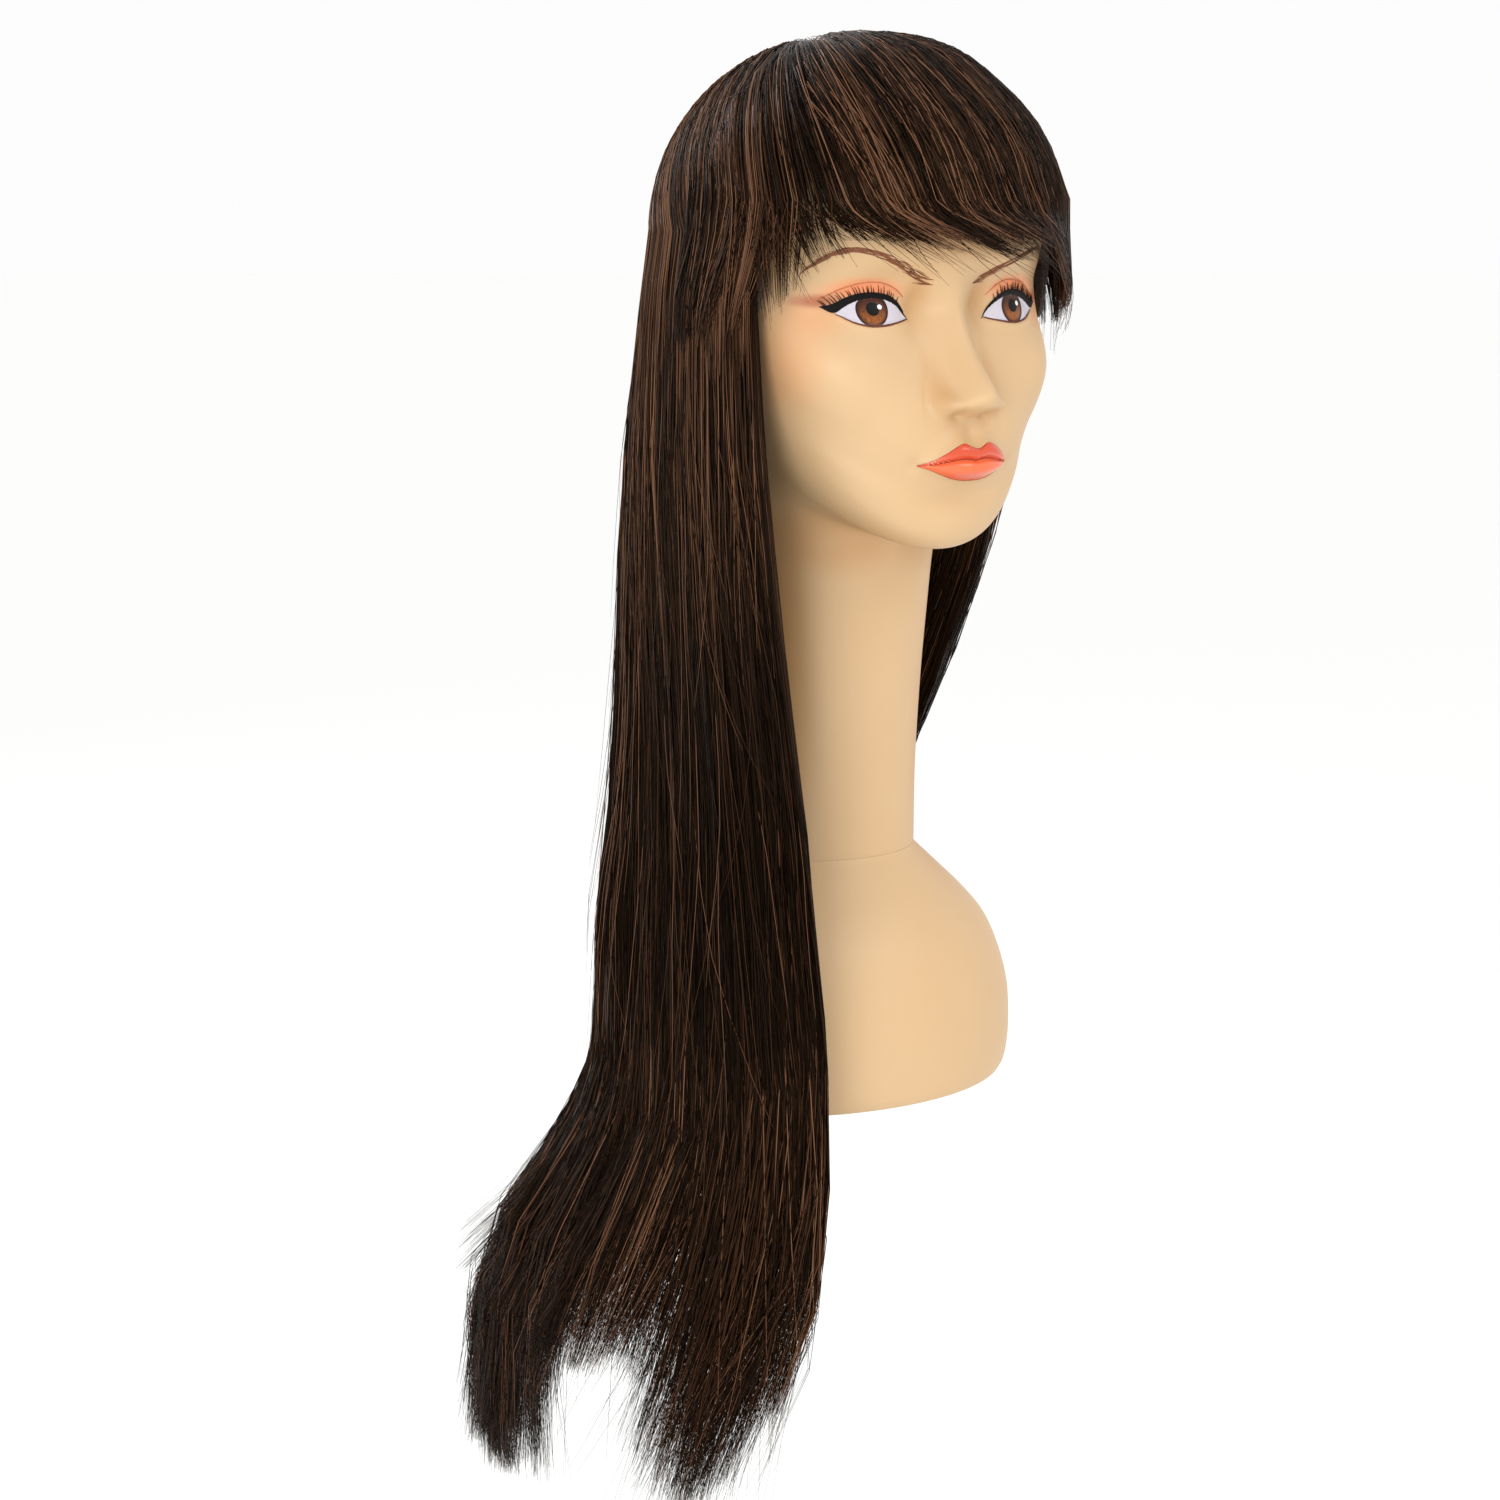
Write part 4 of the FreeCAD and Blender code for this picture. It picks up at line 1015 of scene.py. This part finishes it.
def fringe_fibre(draws, clumps):
    """One fibre of the fringe, from the crown forward and down over the forehead."""
    share = draws.random()
    clump = min(draws.sample(clumps, 30), key=lambda item: abs(item.share - share))
    depth = draws.random()
    aim = mix(share, clump.share, 0.72)
    curl = along(FRINGE_TURN, aim) * draws.uniform(0.8, 1.2) + clump.swing
    lowest = along(FRINGE_EDGE, min(max(aim + curl, 0.0), 1.0)) + clump.tip
    tip = lowest + abs(draws.gauss(0.0, 4.0))
    middle = step(0.22, 0.34, aim) * step(0.86, 0.74, aim)
    if draws.random() < 0.3 * middle:
        tip += draws.uniform(6.0, 30.0)
    for opening, reach, gap in OPENINGS:
        tip += gap * step(reach, 0.4 * reach, abs(aim - opening))
    if draws.random() < 0.05:
        tip = lowest - draws.uniform(3.0, 15.0) * step(0.1, 0.3, aim)
    tip = min(tip, HAIR_TOP - 3.0)
    curl *= min(1.0, (HAIR_TOP - tip + 6.0) / (HAIR_TOP - lowest + 6.0))
    start = draws.uniform(0.02, 0.72)
    top = HAIR_TOP + 14.0
    points = []
    for number in range(7):
        lean = 0.5 * curl * (1.0 - number / 7.0)
        join = (fringe_point(top, max(share - lean, 0.0), depth) - DOME_MIDDLE).normalized()
        way = swept(WHORL, join, mix(start, 1.0, number / 7.0))
        points.append(dome_point(way, depth, FRINGE_JOIN, FRINGE_FRONT, 3.4))
    for number in range(7):
        part = number / 6.0
        z = mix(top, tip, part ** 0.8)
        here = mix(share, aim, part ** 0.9) + curl * part ** 1.3
        points.append(fringe_point(z, min(max(here, 0.0), 1.0), depth * mix(1.0, 0.85, part)))
    return points, taper(len(points), 0.3, 0.3), fibre_tone(draws, clump.tone, 0.10 + 0.08 * middle)


def build_lock(name, first, last, hair):
    """The fibres of one lock."""
    draws = random.Random(f"{name} {hair.seed}")
    clumps = [Clump(draws, first, last, TIP_SPREAD) for _ in range(hair.clumps)]
    paths = []
    for number in range(hair.fibres):
        paths.append(hanging_fibre(draws, first, last, clumps, LAYERS[number % len(LAYERS)]))
    if first < 0.6 < last:
        paths += [hanging_fibre(draws, 0.585, 0.625, clumps, "wisp") for _ in range(WISPS)]
    return paths + [flyaway(draws, first, last) for _ in range(FLYAWAYS)]


def drawn_in(value, start, reach):
    """The value, eased so that it never passes start + reach."""
    if value <= start:
        return value
    return start + reach * (1.0 - math.exp((start - value) / reach))


def scaled(paths):
    """Paths in metres, with the swinging ends drawn in softly at the back and the right."""
    return [([Vector((-drawn_in(-point.x, EASE_RIGHT, EASE_REACH),
                      drawn_in(point.y, EASE_BACK, EASE_REACH),
                      max(point.z, LOWEST))) * MM for point in points], widths, tone)
            for points, widths, tone in paths]


# ------------------------------------------------------------------ cap, bands and fittings
def woven(name, low, high, thread, roughness, depth, turned=(0.0, 0.0, 0.0)):
    """Cloth of crossing threads. thread is the spacing in millimetres."""
    made, tree, shader = surface(name, {"Roughness": roughness, "Sheen Weight": 0.25,
                                        "Sheen Roughness": 0.4})
    place = add(tree, "ShaderNodeTexCoord").outputs["Object"]
    scale = 1.0 / (thread * MM)
    laid = add(tree, "ShaderNodeMapping", {"Scale": (scale, scale, scale), "Rotation": turned},
               {"Vector": place})
    waves = []
    for axis in ("X", "Z"):
        wave = add(tree, "ShaderNodeTexWave", {"bands_direction": axis, "Scale": 1.0 / 6.283 * 2.0,
                                               "Distortion": 0.4, "Detail": 1.0},
                   {"Vector": laid.outputs[0]})
        waves.append(wave.outputs["Fac"])
    cross = add(tree, "ShaderNodeMath", {"operation": "MAXIMUM"}, {0: waves[0], 1: waves[1]})
    feed(tree, layer_colour(tree, linear(low), linear(high), cross.outputs[0]), shader,
         "Base Color")
    bump(tree, cross.outputs[0], shader, 0.6, depth * MM)
    return made


def plywood():
    """Birch plywood: pale faces, and thin plies along its edge."""
    made, tree, shader = surface("birch_plywood", {"Roughness": 0.55})
    place = add(tree, "ShaderNodeTexCoord").outputs["Object"]
    long = add(tree, "ShaderNodeMapping", {"Scale": (18.0, 160.0, 420.0)}, {"Vector": place})
    grain = add(tree, "ShaderNodeTexNoise", {"Scale": 1.0, "Detail": 6.0, "Distortion": 0.6},
                {"Vector": long.outputs[0]})
    feed(tree, layer_colour(tree, linear("#C49A63"), linear("#E0BF8C"), grain.outputs["Fac"]),
         shader, "Base Color")
    bump(tree, grain.outputs["Fac"], shader, 0.25, 0.0004)
    return made


def felt():
    """Needled wool felt: matted fibres, no gloss."""
    made, tree, shader = surface("wool_felt", {"Roughness": 0.95, "Sheen Weight": 0.5,
                                               "Sheen Roughness": 0.6})
    place = add(tree, "ShaderNodeTexCoord").outputs["Object"]
    mat = add(tree, "ShaderNodeTexNoise", {"Scale": 700.0, "Detail": 4.0}, {"Vector": place})
    feed(tree, layer_colour(tree, linear("#22262B"), linear("#3A4047"), mat.outputs["Fac"]),
         shader, "Base Color")
    bump(tree, mat.outputs["Fac"], shader, 0.8, 0.0008)
    return made


def steel(name, code, roughness, scale):
    """Plated steel: metallic, with a faint crystalline mottling."""
    made, tree, shader = surface(name, {"Metallic": 1.0})
    place = add(tree, "ShaderNodeTexCoord").outputs["Object"]
    mottle = add(tree, "ShaderNodeTexVoronoi", {"Scale": scale}, {"Vector": place})
    rough = add(tree, "ShaderNodeMapRange", {"To Min": roughness - 0.06, "To Max": roughness + 0.1},
                {"Value": mottle.outputs["Distance"]})
    feed(tree, rough.outputs["Result"], shader, "Roughness")
    shader.inputs["Base Color"].default_value = linear(code)
    return made


def hook_plastic():
    """Moulded nylon: satin, with a fine mould texture."""
    made, tree, shader = surface("moulded_nylon", {"Base Color": linear("#1B1513"),
                                                   "Roughness": 0.42})
    place = add(tree, "ShaderNodeTexCoord").outputs["Object"]
    texture = add(tree, "ShaderNodeTexNoise", {"Scale": 1600.0}, {"Vector": place})
    bump(tree, texture.outputs["Fac"], shader, 0.2, 0.0002)
    return made


def dress_nodes():
    """Finishes for the parts that keep the frame's own shape."""
    net = woven("stretch_cap_net", "#1A120E", "#3B2A20", 1.6, 0.7, 0.5)
    lace = woven("dark_lace_tape", "#20140E", "#4A3224", 0.9, 0.65, 0.4)
    elastic = woven("knitted_elastic", "#17100D", "#35271F", 1.1, 0.6, 0.5)
    thread = woven("weft_stitching", "#150D09", "#3A271B", 0.7, 0.55, 0.5, (0.0, 0.6, 0.0))
    finishes = {
        "wig_cap": net, "hairline_band": lace, "nape_band": elastic, "ear_tab_left": elastic,
        "ear_tab_right": elastic, "crown_closure": lace, "hook_loops": elastic,
        "strap_left": elastic, "strap_right": elastic,
        "ear_stay_left": steel("spring_steel", "#8E9196", 0.32, 400.0),
        "pole_socket": steel("zinc_plated_steel", "#B9BDC2", 0.35, 260.0),
        "socket_screws": steel("bright_zinc_screws", "#C9CCD0", 0.25, 500.0),
        "hook_left": hook_plastic(), "base_plate": plywood(), "felt_pad": felt(),
    }
    finishes["ear_stay_right"] = finishes["ear_stay_left"]
    finishes["hook_right"] = finishes["hook_left"]
    for number in range(1, 7):
        finishes[f"weft_track_{number}"] = thread
    for name, finish in finishes.items():
        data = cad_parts[name].data
        data.materials.clear()
        data.materials.append(finish)


# ------------------------------------------------------------------ operators
class MANNEQUIN_OT_head(bpy.types.Operator):
    """Mould the head, neck and bust, with the ears, and spray them"""
    bl_idname = "mannequin.head"
    bl_label = "Head and Bust"

    def execute(self, context):
        head = build_head(context.scene.mannequin_paint)
        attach(head, "bust")
        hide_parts("front_shell", "rear_shell", "seam_tape")
        for side in (-1, 1):
            ear = build_ear(side)
            ear.data.materials.append(head.data.materials[0])
            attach(ear, "bust")
        return {"FINISHED"}


class MANNEQUIN_OT_face(bpy.types.Operator):
    """Paint the eyes, brows and lips on the head"""
    bl_idname = "mannequin.face"
    bl_label = "Painted Face"

    def execute(self, context):
        paint = context.scene.mannequin_paint
        face = Face(bpy.data.objects["painted_head"])
        draws = random.Random("face")
        paints = {
            "white": plain("eye_white_paint", "#CFC8D2", 0.22),
            "iris": iris_material(paint),
            "pupil": plain("pupil_paint", "#0A0605", 0.3, gloss=0.15),
            # White for the glint, a painted highlight.
            "glint": plain("glint_painted_highlight", "#FFFFFF", 0.2),
            "liner": plain("liner_paint", "#0B0706", 0.45, gloss=0.15),
            "lower_lid": plain("lower_lid_paint", "#6B3320", 0.4),
            "brow": plain("brow_paint", paint.brow, 0.5),
            "lid_crease": plain("lid_crease_paint", "#CC7C55", 0.5),
            "upper_lip": lip_material("upper_lip_enamel", "#E0593A", paint.upper_lip, 301.0, 306.0),
            "lower_lip": lip_material("lower_lip_enamel", "#D5522F", paint.lower_lip, 293.5, 297.5),
            "lip_line": plain("lip_line_enamel", "#A8341C", 0.3),
        }
        made = paint_lips(face, paints)
        for side in (-1, 1):
            made += paint_eye(face, side, paints, draws)
            made.append(paint_brow(face, side, paints, draws))
        for piece in made:
            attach(piece, "bust")
        return {"FINISHED"}


class MANNEQUIN_OT_hanging_hair(bpy.types.Operator):
    """Sew the six long locks"""
    bl_idname = "mannequin.hanging_hair"
    bl_label = "Hanging Hair"

    def execute(self, context):
        hair = context.scene.mannequin_hair
        tones, inner = hair_materials(), under_material()
        for name, first, last in LOCKS:
            paths = build_lock(name, first, last, hair)
            lock = strand_piece(f"long_{name}", scaled(paths), hair.width, tones)
            sheet = under_hair(f"under_{name}", first, last, UNDER_END)
            sheet.data.materials.append(inner)
            lock = joined_piece(lock, sheet)
            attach(lock, "wig")
            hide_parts(name)
        return {"FINISHED"}


class MANNEQUIN_OT_crown_hair(bpy.types.Operator):
    """Sew the hair over the crown"""
    bl_idname = "mannequin.crown_hair"
    bl_label = "Crown Hair"

    def execute(self, context):
        hair = context.scene.mannequin_hair
        draws = random.Random(f"crown {hair.seed}")
        paths = []
        for _ in range(CROWN_FIBRES):
            share = draws.random()
            depth = 0.35 + 0.6 * draws.random()
            start = draws.uniform(0.0, 0.5)
            end = draws.uniform(0.75, 1.0)
            join = (hair_point(HAIR_TOP, share, depth) - DOME_MIDDLE).normalized()
            if share > 0.96 or share < 0.04:
                end = min(end, 0.9)
            points = [dome_point(swept(WHORL, join, mix(start, end, number / 9.0)), depth)
                      for number in range(10)]
            paths.append((points, taper(10), fibre_tone(draws, draws.random(), -0.16)))
        crown = strand_piece("crown_hair_fibres", scaled(paths), hair.width, hair_tones())
        base = under_crown()
        base.data.materials.append(bpy.data.materials["inner_fibre_and_painted_shade"])
        crown = joined_piece(crown, base)
        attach(crown, "wig")
        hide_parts("crown_hair")
        return {"FINISHED"}


class MANNEQUIN_OT_fringe(bpy.types.Operator):
    """Sew the fringe and the short layer at its sides"""
    bl_idname = "mannequin.fringe"
    bl_label = "Fringe"

    def execute(self, context):
        hair = context.scene.mannequin_hair
        draws = random.Random(f"fringe {hair.seed}")
        clumps = [Clump(draws, 0.0, 1.0, 9.0) for _ in range(FRINGE_CLUMPS)]
        paths = [fringe_fibre(draws, clumps) for _ in range(FRINGE_FIBRES)]
        fringe = strand_piece("fringe_fibres", scaled(paths), hair.width * 0.9, hair_tones())
        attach(fringe, "wig")
        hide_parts("fringe_hair")
        return {"FINISHED"}


class MANNEQUIN_OT_fittings(bpy.types.Operator):
    """Finish the cap, bands, hooks, base plate and pole socket"""
    bl_idname = "mannequin.fittings"
    bl_label = "Cap and Fittings"

    def execute(self, context):
        dress_nodes()
        return {"FINISHED"}


class MANNEQUIN_OT_stage(bpy.types.Operator):
    """Set the floor, the lights and the camera"""
    bl_idname = "mannequin.stage"
    bl_label = "Stage"

    def execute(self, context):
        scene = context.scene
        setup = scene.mannequin_stage
        bm = bmesh.new()
        bmesh.ops.create_circle(bm, cap_ends=True, segments=96, radius=30.0)
        bmesh.ops.translate(bm, verts=bm.verts, vec=(0.0, 0.0, setup.floor_drop))
        pale = plain("matt_white_floor", "#F3F3F2", 0.9)
        mesh_piece("floor", bm, [pale], smooth=False)

        world = bpy.data.worlds.new("studio")
        world.use_nodes = True
        back = world.node_tree.nodes["Background"]
        back.inputs["Color"].default_value = linear("#FFFFFF")
        back.inputs["Strength"].default_value = 0.98
        scene.world = world
        scene.view_settings.view_transform = "Standard"

        sun = bpy.data.lights.new("softbox_front", "SUN")
        sun.energy, sun.angle = 0.55, math.radians(30.0)
        key = bpy.data.objects.new("softbox_front", sun)
        key.rotation_euler = Vector((0.35, -1.0, 0.85)).to_track_quat("Z", "Y").to_euler()
        scene.collection.objects.link(key)
        for name, place, power, size in (("strip_left", (-1.8, -1.3, 0.5), 16.0, 0.9),
                                         ("strip_back", (-0.6, 2.0, 1.4), 14.0, 0.8)):
            lamp = bpy.data.lights.new(name, "AREA")
            lamp.energy, lamp.size = power, size
            light = bpy.data.objects.new(name, lamp)
            light.location = place
            aim = Vector((0.0, 0.0, 0.2)) - light.location
            light.rotation_euler = aim.to_track_quat("-Z", "Y").to_euler()
            scene.collection.objects.link(light)

        turn, tilt = setup.azimuth, setup.pitch
        back_way = Vector((math.sin(turn) * math.cos(tilt), -math.cos(turn) * math.cos(tilt),
                           math.sin(tilt)))
        aim = Vector((-0.0214, 0.0150, 0.155))
        lens = bpy.data.cameras.new("camera")
        lens.lens, lens.sensor_width = setup.lens, 36.0
        camera = bpy.data.objects.new("camera", lens)
        camera.location = aim + back_way * setup.distance
        camera.rotation_euler = back_way.to_track_quat("Z", "Y").to_euler()
        scene.collection.objects.link(camera)
        scene.camera = camera
        return {"FINISHED"}


class MANNEQUIN_PT_panel(bpy.types.Panel):
    """Lists the mannequin's pieces"""
    bl_label = "Mannequin Head"
    bl_idname = "MANNEQUIN_PT_panel"
    bl_space_type = "VIEW_3D"
    bl_region_type = "UI"
    bl_category = "Mannequin"

    def draw(self, context):
        layout = self.layout
        for step_class in STEPS:
            layout.operator(step_class.bl_idname)
        for group in (context.scene.mannequin_paint, context.scene.mannequin_hair,
                      context.scene.mannequin_stage):
            box = layout.box()
            for name in group.bl_rna.properties.keys():
                if name not in ("rna_type", "name"):
                    box.prop(group, name)


STEPS = (MANNEQUIN_OT_head, MANNEQUIN_OT_face, MANNEQUIN_OT_hanging_hair, MANNEQUIN_OT_crown_hair,
         MANNEQUIN_OT_fringe, MANNEQUIN_OT_fittings, MANNEQUIN_OT_stage)
CLASSES = (MannequinPaint, MannequinHair, MannequinStage) + STEPS + (MANNEQUIN_PT_panel,)


def register():
    for item in CLASSES:
        bpy.utils.register_class(item)
    bpy.types.Scene.mannequin_paint = bpy.props.PointerProperty(type=MannequinPaint)
    bpy.types.Scene.mannequin_hair = bpy.props.PointerProperty(type=MannequinHair)
    bpy.types.Scene.mannequin_stage = bpy.props.PointerProperty(type=MannequinStage)


def unregister():
    del bpy.types.Scene.mannequin_stage
    del bpy.types.Scene.mannequin_hair
    del bpy.types.Scene.mannequin_paint
    for item in reversed(CLASSES):
        bpy.utils.unregister_class(item)


def main():
    """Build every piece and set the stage."""
    register()
    bpy.ops.mannequin.head()
    bpy.ops.mannequin.face()
    bpy.ops.mannequin.hanging_hair()
    bpy.ops.mannequin.crown_hair()
    bpy.ops.mannequin.fringe()
    bpy.ops.mannequin.fittings()
    bpy.ops.mannequin.stage()


if __name__ == "__main__":
    main()
